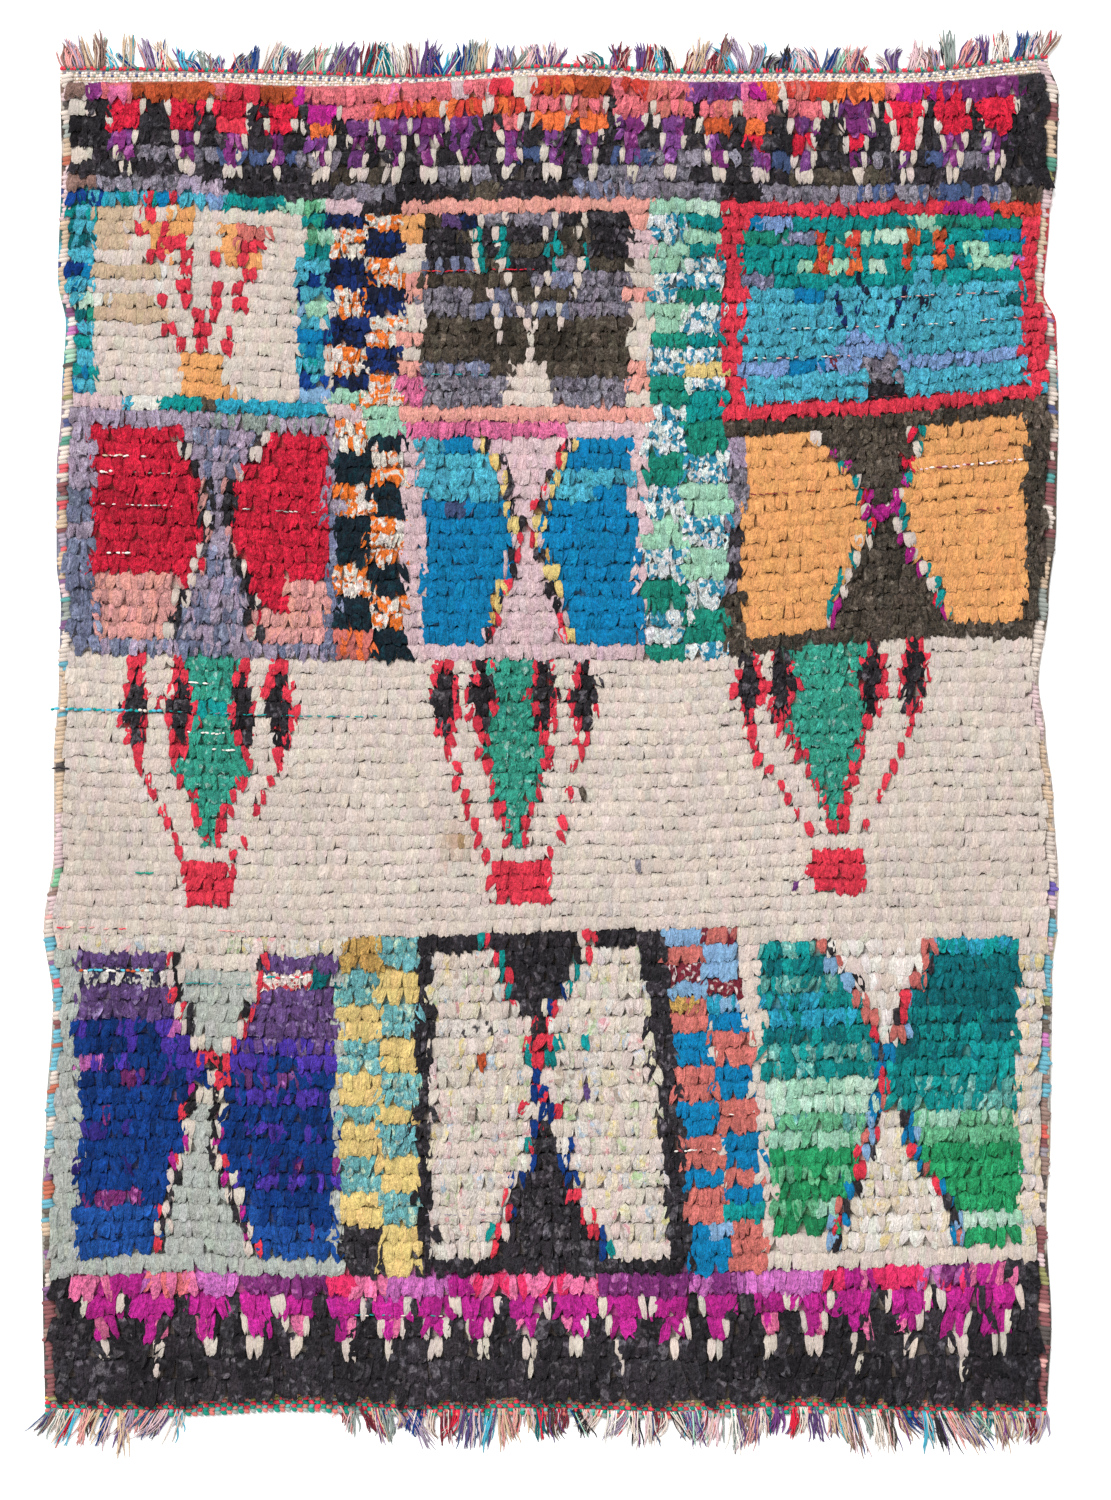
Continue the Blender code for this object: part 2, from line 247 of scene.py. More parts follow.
def frame_shift():
    """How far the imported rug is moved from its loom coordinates, in metres."""
    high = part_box("rug_cloth")[1]
    # The CAD cloth has the points of its rim in the groove and at the crest of each row
    rows = [HEAD_ROW, -0.2, *(row + part for row in range(KNOT_ROWS) for part in (0, CREST))]
    widest = row_ends(np.array([*rows, KNOT_ROWS, FOOT_ROW]))[1].max() * MM
    return np.array([high.x - widest, high.y - float(weft_height(HEAD_ROW, 1.0)) * MM, 0.0])


SHIFT = frame_shift()


def placed(points):
    """Loom points in millimetres, as scene points in metres."""
    return np.asarray(points) * MM + SHIFT


def scatter(first, second, salt):
    """A number from 0 to 1 that looks random but is always the same for the same place."""
    value = np.sin(first * 12.9898 + second * 78.233 + salt * 37.719) * 43758.5453
    return value - np.floor(value)


def unevenness(x, y, size, salt):
    """A smooth unevenness from -1 to 1, with lumps of about the given size."""
    u, v = x / size, y / size
    i, j = np.floor(u), np.floor(v)
    s, t = u - i, v - j
    s, t = s * s * (3 - 2 * s), t * t * (3 - 2 * t)
    near = scatter(i, j, salt) * (1 - s) + scatter(i + 1, j, salt) * s
    far = scatter(i, j + 1, salt) * (1 - s) + scatter(i + 1, j + 1, salt) * s
    return 2 * (near * (1 - t) + far * t) - 1


def fold_rise(x, y):
    """How much the stored fold lifts the pile."""
    place = FOLD_AT_FOOT + (FOLD_AT_HEAD - FOLD_AT_FOOT) * (y - CLOTH_FOOT) / CLOTH_LENGTH
    return FOLD_HEIGHT * np.exp(-(((x - place) / FOLD_HALF_WIDTH) ** 2))


def rag_numbers(names):
    """The numbers of some rags, from their names."""
    return np.array([RAG_NAMES.index(name) for name in names])


def written_out(text):
    """The words of a text, with each word*3 as three words."""
    parts = [word.partition("*") for word in text.split()]
    return [name for name, _, times in parts for _ in range(int(times or 1))]


def places(text):
    """The numbers of each word of a text, which are joined by colons."""
    return [[float(part) for part in word.split(":")] for word in text.split()]


class Chart:
    """The design: which rag each tuft is torn from, painted over the rows of tufts. It is painted
    one band at a time, and here is the band that the rows are counted in."""

    def __init__(self, pitch, seed):
        draw = np.random.default_rng(seed)
        parts = []
        for knot in range(KNOT_ROWS):
            band = int(np.searchsorted(LINE_ROWS[2:], knot, side="right"))
            left, right = row_ends(knot + 0.5)
            start = left + SELVEDGE + OVERHANG * draw.uniform(-0.5, 0.5)
            end = right - SELVEDGE - OVERHANG * draw.uniform(-0.5, 0.5)
            count = round((end - start) / (pitch * WIDENING[band]))
            steps = np.arange(count) + 0.5 + draw.uniform(-0.22, 0.22, count)
            x = start + steps * (end - start) / count
            row = knot - max(LINE_ROWS[band + 1], 0)
            fixed = [np.full(count, value) for value in (knot, row, band)]
            parts.append([*fixed, x, (x - left) / (right - left)])
        self.knot, self.row, self.band, self.x, self.share = map(np.concatenate, zip(*parts))
        count = len(self.x)
        self.here = HEAD_BORDER
        self.rag = np.zeros(count, int)
        self.slim = np.zeros(count, bool)
        self.chance = draw.random(count)
        self.ragged = self.x + draw.uniform(-3.0, 3.0, count)

    def pick(self, where, names, slim=False):
        """Gives tufts one rag, or one of several whose names are joined by +, and may make them
        slim, as single stitches are."""
        choice = rag_numbers(names.split("+"))
        self.rag[where] = choice[(self.chance[where] * len(choice)).astype(int)]
        if slim:
            self.slim[where] = True

    def inside(self, first, last):
        """Which tufts are in some rows of the band."""
        return (self.band == self.here) & (self.row >= first) & (self.row <= last)

    def runs(self, first, last, text):
        """Lays runs of rag along rows: where the first starts, its rag, where the next starts..."""
        words = text.split()
        rows = self.inside(first, last)
        for start, rag, end in zip(words[0::2], words[1::2], words[2::2]):
            self.pick(rows & (self.ragged >= float(start)) & (self.ragged < float(end)), rag)

    def rows(self, first, *texts):
        """Lays runs of rag along one row after another, from one text for each."""
        for row, text in enumerate(texts, first):
            self.runs(row, row, text)

    def patches(self, first, last, text, size):
        """Fills part of some rows with short runs, each of a rag drawn from the ones named."""
        left, names, right = text.split()
        choice = rag_numbers(names.split("+"))
        where = self.inside(first, last)
        where &= (self.ragged >= float(left)) & (self.ragged < float(right))
        wander = self.ragged[where] + 30 * scatter(self.knot[where], 3.0, 5)
        patch = scatter(np.floor(wander / size), self.knot[where], 11)
        self.rag[where] = choice[(patch * len(choice)).astype(int)]

    def column(self, first, left, right, text, slope=0.0):
        """Lays short runs under each other, which may lean to the right: one rag for each row."""
        for step, rag in enumerate(written_out(text)):
            self.rows(first + step, f"{left + slope * step} {rag} {right + slope * step}")

    def taper(self, points, fill, outline, second=""):
        """Fills a shape whose sides run straight between points, each given as row:left:right,
        with an outline of single tufts down each side, and perhaps a second one outside it."""
        table = np.array(places(points))
        rows = self.inside(table[0, 0], table[-1, 0])
        left = np.interp(self.row, table[:, 0], table[:, 1])
        right = np.interp(self.row, table[:, 0], table[:, 2])
        self.pick(rows & (self.x >= left) & (self.x < right), fill)
        for number, names in enumerate(filter(None, (outline, second))):
            near, far = number * OUTLINE, (number + 1) * OUTLINE
            before = (self.x >= left - far) & (self.x < left - near)
            after = (self.x >= right + near) & (self.x < right + far)
            self.pick(rows & (before | after), names, True)

    def stitches(self, names, lines, missing=0.12):
        """Single tufts down slanting lines, each given as row:place:row:place."""
        for top, start, foot, end in places(lines):
            for row in range(int(top), int(foot) + 1):
                place = start + (end - start) * ((row - top) / max(foot - top, 1))
                tufts = np.flatnonzero(self.inside(row, row))
                tuft = tufts[np.argmin(np.abs(self.x[tufts] - place))]
                if self.chance[tuft] > missing:
                    self.pick([tuft], names, True)

    def marks(self, names, half, text):
        """Short marks of a rag, each given as row:place."""
        for row, place in places(text):
            self.pick(self.inside(row, row) & (np.abs(self.x - place) < half), names, True)

    def lozenges(self, row, middles):
        """Small black lozenges with red tips."""
        for place in middles:
            for step, (black, red) in enumerate(LOZENGE):
                where = self.inside(row + step, row + step)
                away = np.abs(self.x - place)
                self.pick(where & (away < red), "red")
                self.pick(where & (away < black), "coal")

    def teeth(self, middles, steps):
        """A row of stepped teeth that hang down from the top of a border, flanked by cream: half
        the width of each step, and its rag in each tooth."""
        for step, (half, text) in enumerate(steps, 1):
            where = self.inside(step, step)
            for place, rag in zip(middles, written_out(text)):
                away = np.abs(self.x - place + 2 * (self.chance - 0.5))
                flank = where & (away >= half) & (away < half + 6) & (self.chance < 0.8)
                self.pick(flank, "cream", True)
                inner = where & (away < half)
                self.slim[inner] = half < 6
                self.pick(inner, rag)


# Width of an outline, and half the widths of a lozenge's black and red from its top to its foot
OUTLINE = 9.0
LOZENGE = [(5, 11), (12, 18), (17, 24), (11, 18), (7, 12), (0, 5)]


def chart_head_border(c):
    """Stepped teeth in red, salmon and orange over purple, on black and grey."""
    c.here = HEAD_BORDER
    c.runs(0, 6, "-720 coal 720")
    c.rows(
        0,
        "-700 coal -648 plum+magenta -621 coral_pink+pink -584 rust -480 coral_pink+rust -451 red -405"
        " rust -354 magenta -345 coral_pink -239 coral_pink+pink -193 coral_pink -143 blush+coral_pink"
        " -75 red -50 cream -23 orange+redorange 36 rust 80 coral_pink+redorange 138 coral_pink+coral"
        " 198 plum+purple 262 pink 280 magenta 292 orange 316 cream 324 coral+redorange 388 rust+orange"
        " 463 coral_pink 486 magenta 524 crimson+plum 592 plum 656 coal 720",
    )
    c.patches(4, 4, "-640 coal+heather+heather+denim+coal 640", 55)
    c.patches(5, 5, "-665 coal+heather+coal+olive+coal 700", 70)
    c.rows(
        6,
        "-720 dusty_brown -640 heather -518 lavender -452 coal -300 heather -206 coal -117 olive -67"
        " coal 23 heather+slate 112 heather 242 coal 298 heather 430 heather+denim 637 olive 720",
    )
    middles = [-598, -511, -446, -380, -320, -267, -219, -173, -122, -58, 0, 54, 112, 170, 231]
    middles += [290, 354, 426, 498, 561, 625]
    top = "crimson*4 magenta coral_pink redorange+orange*4 coral_pink coral_pink+coral coral_pink"
    top += " coral_pink+coral*2 coral_pink*2 plum+purple crimson*3"
    second = "crimson*2 red crimson orange plum+purple*4 coral_pink orange*2 plum+purple*2 rust orange"
    second += " plum+purple*2 crimson*3"
    steps = [(24, top), (18, second), (12, "plum+purple*15 crimson*4 plum+purple*2")]
    c.teeth(middles, [*steps, (7, "plum+purple*21"), (4, "cream*21")])
    c.patches(0, 5, "-720 greygreen+coal+heather+cream+coal+dusty_brown -645", 26)
    c.patches(2, 3, "-690 coal -640", 26)
    c.runs(1, 5, "660 coal 720")


def chart_upper_left(c):
    """A cream field in a blue and green frame, with two flower heads on strings of red."""
    c.here = UPPER
    c.runs(0, 14, "-720 cream -312")
    c.runs(1, 3, "-637 tan -588")
    c.patches(4, 8, "-640 cream+tan+cream+white+cream -540", 60)
    c.rows(
        0,
        "-720 turquoise+royal+teal -622 turquoise+teal+cyan -545 blue -516 turquoise -492"
        " periwinkle+skyblue -458 teal+turquoise -434 deepteal+teal -380 grassy+mint -308",
    )
    frame_rags = "turquoise+teal turquoise+deepteal deepteal+turquoise turquoise+cyan royal+blue"
    frame_rags += " turquoise+blue palemint+turquoise seagreen+deepteal turquoise+plum teal+turquoise"
    frame_rags += " turquoise+mint teal+blue blue+turquoise"
    c.column(1, -720, -636, frame_rags)
    c.column(1, -345, -308, "seagreen+teal grassy+mint teal")
    frame_rags = "turquoise turquoise+royal royal+turquoise skyblue+mint blue+turquoise blue cyan+blue"
    c.column(4, -356, -314, frame_rags + " teal+turquoise royal+blue+turquoise skyblue")
    c.rows(14, "-720 blush -600 turquoise -583 white -540 teal -489 olive -477 cyan -320")
    c.marks("red", 6, "0:-562 0:-524 4:-556 4:-520 5:-508 4:-428 4:-472 5:-424")
    c.rows(
        1,
        "-570 red -548 cream -530 peach -506",
        "-582 red -566 peach -540 red -528 peach -500 cream -462 peach -440 coral -402",
        "-566 peach+orange -544 red -526 peach+red -506 cream -466 peach -440 red+coral -402",
        "-560 red+peach -540 cream -524 peach+red -504",
    )
    c.rows(4, "-458 peach -440 red -426 peach -406")
    c.marks("red", 7, "6:-514 6:-464 6:-434 7:-544 7:-510 7:-470 7:-434 8:-492 8:-472")
    c.marks("red", 7, "9:-534 9:-492 9:-480 9:-450 10:-516 10:-484 10:-452")
    c.runs(11, 12, "-514 peach -453")
    c.rows(13, "-521 peach -443")


def chart_upper_centre(c):
    """Black and grey stripes in a salmon frame, with four teal flecks and a cream wedge."""
    c.here = UPPER
    c.runs(0, 14, "-211 salmon 141")
    c.column(1, -211, -180, "peach*2 cream*2 salmon*2 cream*2 salmon cream salmon pink*2")
    c.column(1, 109, 141, "salmon blush*2 cream*2 salmon cream*4 salmon*2 cream")
    c.runs(8, 10, "-180 olive 109")
    c.rows(
        1,
        "-180 olive -153 heather_purple -127 navy -103 heather 11 coal 109",
        "-180 coal -127 olive -107 teal -91 coal -73 teal -60 coal 2 teal 12 olive 54 coal 109",
        "-180 coal -107 teal -91 coal -74 teal -58 olive -4 teal 12 olive 42 teal 56 coal 109",
        "-180 slate+coal -107 teal -91 olive -73 teal -60 coal 2 teal 12 heather 42 teal 54 olive 109",
        "-180 olive -30 heather 8 slate 40 heather 109",
        "-180 heather -112 olive -88 slate -66 olive 33 heather 109",
        "-180 heather -98 slate -54 heather -13 slate 23 heather 109",
    )
    c.rows(
        11,
        "-180 slate+heather -86 olive -52 cream -1 olive 109",
        "-180 heather -62 cream 8 heather 109",
        "-180 heather -69 cream 6 heather 109",
    )
    for place in (-98, -66, 5, 47):
        c.stitches("cream", f"1:{place}:1:{place}", 0)
        c.stitches("cream", f"2:{place - 9}:4:{place - 9}", 0.3)
    zigzag = "4:-66:6:-52 5:-2:6:-16 6:-84:9:-68 7:-46:8:-37 7:-22:10:-31 7:14:8:18 4:44:6:30"
    c.stitches("cream", zigzag, 0)


def chart_upper_right(c):
    """A field of turquoise and teal in a red frame, with four rust dashes."""
    c.here = UPPER
    c.runs(0, 14, "232 turquoise 720")
    c.rows(
        1,
        "266 blue 291 periwinkle 331 teal 501 mint 547 seagreen 660",
        "266 seagreen 331 slate 365 teal 402 mint 445 teal 457 palemint 495 teal 599 blue 660",
        "266 teal 578 mint 615 teal 660",
        "266 teal 350 mint 365 teal 385 mint 414 teal 442 palemint 467 teal 513 turquoise 538"
        " teal 551 deepteal 575 teal 584 mint 642 lilac 660",
        "266 slate 313 teal 507 turquoise 531 teal 660",
        "334 blue 387",
        "627 deepteal 660",
    )
    c.rows(
        9,
        "417 periwinkle 448",
        "396 periwinkle 488",
        "266 periwinkle 334 blue 374 periwinkle 387 maroon 391 periwinkle 660",
    )
    for left, right in ((367, 393), (419, 433), (494, 510), (534, 556)):
        c.runs(2, 4, f"{left} redorange+rust+orange {right}")
    c.stitches("navy", "5:387:8:407 5:430:7:437 5:504:8:480 6:530:8:510")
    c.runs(11, 12, "436 heather 490")
    c.rows(13, "436 coal 495")
    c.runs(1, 13, "239 red 268")
    c.runs(1, 13, "660 red 692")
    c.rows(0, "232 red 550 magenta 618 redorange 720")
    c.rows(14, "232 red 680")


def chart_middle_panels(c):
    """Three panels with an hourglass each: red and lavender, blue and blush, peach and brown."""
    c.here = MIDDLE
    c.runs(0, 14, "-720 lavender -300")
    c.rows(0, "-477 greygreen+lavender -300")
    c.runs(1, 9, "-639 crimson -314")
    c.runs(10, 13, "-639 rose+rose+salmon -314")
    c.runs(10, 11, "-411 crimson -368")
    c.column(1, -720, -639, "lavender*4 slate*2 lavender slate*7")
    c.column(1, -314, -298, "lavender*5 slate*9")
    c.rows(14, "-639 slate+lavender -300")
    glass = "1:-513:-411 4:-477:-457 6:-470:-457 9:-480:-447 10:-500:-427 13:-521:-424"
    c.taper(glass, "lavender+lavender+slate", "coal+cream+coal+rose", "cream+coal+crimson+cream")

    c.runs(0, 14, "-209 blush 157")
    c.rows(0, "-209 pink 23")
    c.runs(1, 13, "-180 blue 112")
    c.runs(6, 13, "112 blue 124")
    c.rows(
        1,
        "-180 turquoise -153",
        "-180 turquoise -40",
        "-180 turquoise -40 blue -20 turquoise 112",
        "-180 turquoise -40 blue -20 turquoise 57",
        "-144 denim -110",
    )
    glass = "1:-86:19 3:-54:-9 5:-46:-23 6:-35:-28 7:-42:-28 9:-50:-11 13:-81:12"
    c.taper(glass, "blush", "coal+yellow+red+coal", "yellow+ochre+blush+yellow")

    c.runs(0, 14, "240 brown 720")
    c.runs(1, 13, "269 peach 662")
    c.column(1, 240, 269, "lavender*2 heather*4 coal heather coal heather brown*4")
    glass = "1:380:503 2:395:500 3:421:494 5:451:477 7:456:481 9:432:496 11:413:526 13:402:541"
    c.taper(glass, "brown", "magenta+cream+crimson+magenta", "teal+peach+teal+cream")
    c.rows(6, "454 magenta+cream 478")


def chart_cream_band(c):
    """A plain cream band with three green drops, each over a red square and between lozenges."""
    c.here = CREAM_BAND
    c.runs(0, 18, "-720 cream 720")
    c.rows(1, "-720 turquoise -688")
    c.runs(14, 16, "-720 grassy+cream+rust -697")
    c.rows(17, "697 teal 720")
    for drop in (
        "0:-509:-438 4:-512:-446 6:-526:-430 7:-524:-424 9:-500:-450 11:-490:-468 12:-482:-472",
        "0:-98:-22 2:-80:-27 6:-94:-8 8:-77:-17 10:-68:-33 12:-55:-43",
        "0:329:437 1:338:431 5:332:438 7:357:428 10:384:409 12:393:402",
    ):
        c.taper(drop, "dropgreen", "red")
    c.rows(3, "-512 teal -449")
    c.marks("red", 10, "0:-578 0:-517 0:-429 0:-379")
    c.lozenges(1, (-578, -517, -429, -379))
    c.lozenges(0, (-148, -96, -10, 47, 277, 323, 448, 506))
    c.runs(14, 16, "-514 red -444 cream -80 red -1 cream 363 red 437")
    c.stitches("red", "7:-576:13:-518 7:-383:13:-441 6:-146:13:-88 6:42:13:2 6:280:12:358 6:501:12:438")
    c.stitches("heather", "14:118:14:118", 0)
    c.stitches("purple", "16:344:16:344", 0)
    c.stitches("olive", "9:44:9:44", 0)


def chart_lower_left(c):
    """Royal blue and violet halves in a sage frame, with a sage hourglass."""
    c.here = LOWER
    c.runs(0, 19, "-720 sage -280")
    c.rows(0, f"-720 {FLECKS}+flecked_coal -294")
    c.rows(1, "-663 heather_purple -301", "-655 navy_print -416 red_print -339 deepteal -301")
    c.runs(3, 4, "-663 heather_purple -301")
    c.runs(6, 15, "-663 royal -301")
    c.runs(16, 18, "-663 midblue -301")
    c.rows(
        5,
        "-663 violet+royal -540 lilac+violet -515 heather_purple -301",
        "-600 royal+violet -480 heather_purple+violet -301",
        "-663 violet+lilac -614 violet+royal -520 violet -436 violet+royal -301",
        "-606 plum -575 royal+violet -440 violet+purple+royal -340",
        "-460 violet+royal -301",
        "-622 royal+plum -606",
        "-663 royal+indigo -580 royal -420 royal+violet -301",
    )
    c.rows(
        13,
        "-663 royal+indigo+royal -450 royal+indigo+plum -301",
        "-440 royal+violet -301",
        "-663 plum+royal -575",
        "-400 midblue+royal -301",
        "-345 plum -325",
    )
    glass = "1:-519:-415 3:-512:-422 4:-501:-429 5:-497:-437 6:-483:-458"
    c.taper(glass, "sage", "coal+cream+coal+cream", "red+cream+red")
    glass = "9:-487:-472 10:-495:-470 12:-497:-479 13:-515:-472 15:-522:-451 16:-529:-444 18:-537:-429"
    c.taper(glass, "sage", "coal+cream+coal", "cream+red+cream+magenta")
    c.rows(1, "-519 cream -415")
    c.rows(7, "-486 red -475 coal -460 red -448", "-480 cream -462 red -452", "-487 cream -470")


def chart_lower_centre(c):
    """Off-white flecked halves in a charcoal frame, with a charcoal hourglass."""
    c.here = LOWER
    c.rows(0, "-187 coal 159")
    for row in range(1, 19):
        edge = 128 + 2.05 * row
        c.rows(row, f"-187 coal -168 {FLECKS} {max(edge, round(edge))} coal {edge + 31}")
    c.rows(19, "-198 coal 198")
    c.rows(5, "-142 flecked_coal -66")
    glass = "0:-82:39 1:-67:42 2:-61:22 3:-50:13 4:-48:-7 5:-20:-9"
    c.taper(glass, "coal", "red+royal+teal+red+cream", "cream+red+teal+cream+white")
    glass = "11:-12:-2 12:-24:10 13:-20:8 14:-41:22 15:-50:25 16:-50:42 17:-64:54 18:-76:65"
    c.taper(glass, "coal", "red+royal+cream+red+royal", "red+cream+royal+teal+white")
    c.rows(
        6,
        "-39 teal -32 red -23 coal -7 red 2 teal 9",
        "-39 teal -26 red -8 royal 0",
        "-26 royal -7",
        "-27 royal -20 red -8 royal 2",
        "-36 red -27 cream -8 royal 3 red 12",
    )
    c.marks("rust", 5, "7:-99")
    c.marks("heather_purple", 5, "9:51")
    c.marks("teal", 4, "6:47 7:-2")


def chart_lower_right(c):
    """Teal halves that turn bright green, in a cream frame, with a cream hourglass."""
    c.here = LOWER
    c.runs(0, 19, "262 cream 720")
    halves = "deepteal+teal+greyteal deepteal+teal teal+greyteal teal+cyan+teal teal+cyan"
    halves += " deepteal+teal greyteal+teal teal+greyteal+teal palemint+mint palemint+mint+palemint"
    halves += " grassy+greyteal mint+grassy+mint brightgreen brightgreen+grassy brightgreen"
    halves += " brightgreen+grassy+brightgreen brightgreen"
    for step, rags in enumerate(halves.split()):
        c.rows(step + 1, f"{288 + 1.7 * step:.0f} {rags} 470")
    halves = "teal+cyan deepteal*3 deepteal+deepteal+teal deepteal+teal teal+deepteal teal"
    halves += " teal+greyteal+teal teal+greyteal grassy+mint grassy brightgreen*6"
    c.column(1, 470, 651, halves)
    c.rows(16, "375 mint 410", "571 mint+palemint 652")
    glass = "1:389:522 2:405:518 3:426:503 4:442:488 5:453:480 6:461:480"
    c.taper(glass, "cream+cream+white", "coral+red+coal+coral", "red+skyblue+coal+coral")
    glass = "11:461:492 12:457:495 13:450:500 14:441:516 15:430:532 16:415:548 18:407:560"
    c.taper(glass, "cream+white+flecked_gold", "coal+blue+red+coal", "blue+red+skyblue+coral")
    c.rows(
        7,
        "444 blue 458 coal 468 blue 480",
        "452 red 460 blue 470 red 478",
        "457 red 474",
        "453 blue 463 coral 476",
    )
    c.runs(1, 18, "651 cream+cream+flecked_gold+flecked_sky 720")


def chart_chequers(c):
    """The four narrow chequered strips between the panels."""
    c.here = UPPER
    cells = "navy*2 orange_print*2 navy*2 orange_print*2"
    c.column(0, -310, -258, f"blush navy orange_print*2 {cells} navy mint orange_print+blush")
    c.column(0, -258, -209, f"coal orange_print {cells} navy*2 orange_print*2 mint")
    cells = "mint teal_print*2 mint*2 teal_print*2 mint*2 seagreen teal_print*2 seagreen*2 teal_print"
    c.column(0, 139, 186, cells)
    cells = "palemint teal mint teal teal_print*2 seagreen teal_print*2 teal teal_print yellow"
    c.column(0, 186, 240, cells + " teal_print teal*2")

    c.here = MIDDLE
    cells = "orange_print*2 ink_blue*2 orange_print*2 ink_blue*3 orange_print*2 ink_blue*2"
    c.column(0, -300, -250, cells + " orange+coral*2")
    cells = "ink_blue orange_print*2 ink_blue*2 orange_print*3 ink_blue*2 orange_print*2 ink_blue*2"
    c.column(0, -250, -207, "mint " + cells)
    cells = "teal_print*2 seagreen*2 teal_print*2 mint*2 teal_print*2 seagreen*2 teal_print*2"
    c.column(0, 130, 188, cells + " seagreen")
    cells = "seagreen*2 teal_print*2 mint*2 teal_print*2 mint*2 teal_print*2 seagreen*2 teal_print"
    c.column(0, 188, 246, cells)

    c.here = LOWER
    cells = "ochre*2 {0}*2 yellow*2 {0}*2 yellow*2 {0} yellow*2 {0}*2 yellow*2 coal*3"
    c.column(0, -294, -238, cells.format("pale_turquoise"))
    cells = "{0}*2 yellow*2 {0}*2 yellow*2 {0}*2 yellow {0}*2 yellow*2 {0}*2 yellow*3"
    c.column(0, -238, -187, cells.format("pale_turquoise"))
    cells = "skyblue coral maroon_print skyblue ochre+coral coral blue*2 coral*2 blue*2 coral*2 blue"
    c.column(0, 157, 211, cells + " coral*2 skyblue+blue blue*2", 2.1)
    cells = "maroon_print+coral skyblue*2 maroon_print cyan+skyblue blue coral*2 blue*2 coral*2"
    c.column(0, 211, 262, cells + " blue*2 coral blue teal coral*3", 2.2)


def chart_foot_border(c):
    """A pink and plum band over magenta teeth on charcoal."""
    c.here = FOOT_BORDER
    c.runs(0, 5, "-720 coal 720")
    c.rows(
        0,
        "-671 pink -617 magenta -591 magenta+lilac -564 pink+pink+coral_pink -498 lilac -441 plum"
        " -313 hot_pink -272 pink -237 lilac -143 magenta -105 pink+pink+hot_pink 70 plum 196 lilac"
        " 226 plum 261 lilac 384 hot_pink 415 magenta+pink 455 hot_pink 523 lilac 546 hot_pink+plum"
        " 592 magenta+pink 649",
    )
    middles = [-625, -553, -480, -415, -356, -287, -225, -162, -102, -31, 33, 98, 170, 231, 303]
    middles += [365, 430, 500, 570, 623]
    steps = [(23, "magenta*20"), (11, "magenta+magenta+magenta+pink*20"), (3.2, "cream*20")]
    c.teeth(middles, steps)
    c.marks("cream", 4, "4:-550 4:-28 4:101 4:306 4:433 4:574 4:-412")
    c.runs(1, 5, "655 coal 720")


PANELS = (chart_upper_left, chart_upper_centre, chart_upper_right, chart_middle_panels)
PANELS += (chart_cream_band, chart_lower_left, chart_lower_centre, chart_lower_right)


def draw_design(settings):
    """The whole chart, painted."""
    chart = Chart(settings.tuft_pitch / MM, settings.seed)
    for paint in (chart_head_border, *PANELS, chart_chequers, chart_foot_border):
        paint(chart)
    return chart


# Faint soiling: across, knot row, reach and strength of each spot, how much red, green and blue
# light it takes, and the usual height of a row
STAINS = [
    (-130, 49.0, 22, 1.0), (-112, 46.5, 12, 0.5), (-150, 50.5, 12, 0.45), (160, 51.0, 14, 0.35),
    (420, 46.0, 40, 0.12), (-300, 52.0, 50, 0.10), (560, 50.0, 60, 0.08), (-640, 47.0, 40, 0.10),
]
SOILING = np.array([0.45, 0.62, 0.78])
ROW_PITCH = 20.0
# How far a tuft's tone, and any of its colours, may go
TONE_RANGE = (0.55, 1.45)
LIGHT_RANGE = (0.004, 0.95)


def tuft_colours(chart):
    """Each tuft's own colour, its ink and its printed share, with the cloth's uneven dye."""
    draw = np.random.default_rng(5)
    count = len(chart.x)
    spread = TONE_SPREADS[chart.rag]
    tone = 1 + spread * draw.normal(0, 0.8, count)
    tone += spread * 1.1 * unevenness(chart.x, chart.knot * 31.0, 85.0, 2)
    tone += 0.03 * unevenness(chart.x, chart.knot * 20.0, 220.0, 4)
    tint = 1 + draw.normal(0, 0.022, (count, 3))
    for x, knot, size, strength in STAINS:
        far = np.hypot(chart.x - x, ROW_PITCH * (chart.knot - knot)) / size
        soiled = strength * np.exp(-(far**2)) * draw.uniform(0.4, 1.0, count)
        tint *= 1 - soiled[:, None] * SOILING
    factor = np.clip(tone, *TONE_RANGE)[:, None] * tint
    rag = np.clip(RAG_COLOURS[chart.rag] * factor, *LIGHT_RANGE)
    ink = np.clip(INK_COLOURS[chart.rag] * factor, *LIGHT_RANGE)
    share = INK_SHARES[chart.rag]
    patchy = draw.choice([0.15, 0.9, 1.0, 1.7, 2.0], count)
    share = share * np.where(share > 0.4, patchy, draw.uniform(0.4, 1.25, count))
    return rag, ink, share


class Shade:
    """A socket of a material, so that sums on it read as sums on a number."""

    def __init__(self, finish, socket):
        self.finish = finish
        self.socket = socket

    def _sum(self, operation, first, second, clamp=False):
        settings = {"operation": operation, "use_clamp": clamp}
        return self.finish.node("ShaderNodeMath", settings, {0: first, 1: second})

    def __add__(self, other):
        return self._sum("ADD", self, other)

    __radd__ = __add__

    def __mul__(self, other):
        return self._sum("MULTIPLY", self, other)

    __rmul__ = __mul__

    def __sub__(self, other):
        return self._sum("SUBTRACT", self, other)

    def __rsub__(self, other):
        return self._sum("SUBTRACT", other, self)

    def __gt__(self, other):
        return self._sum("GREATER_THAN", self, other)

    def limited(self):
        """The same value, kept between 0 and 1."""
        return self._sum("ADD", self, 0.0, clamp=True)


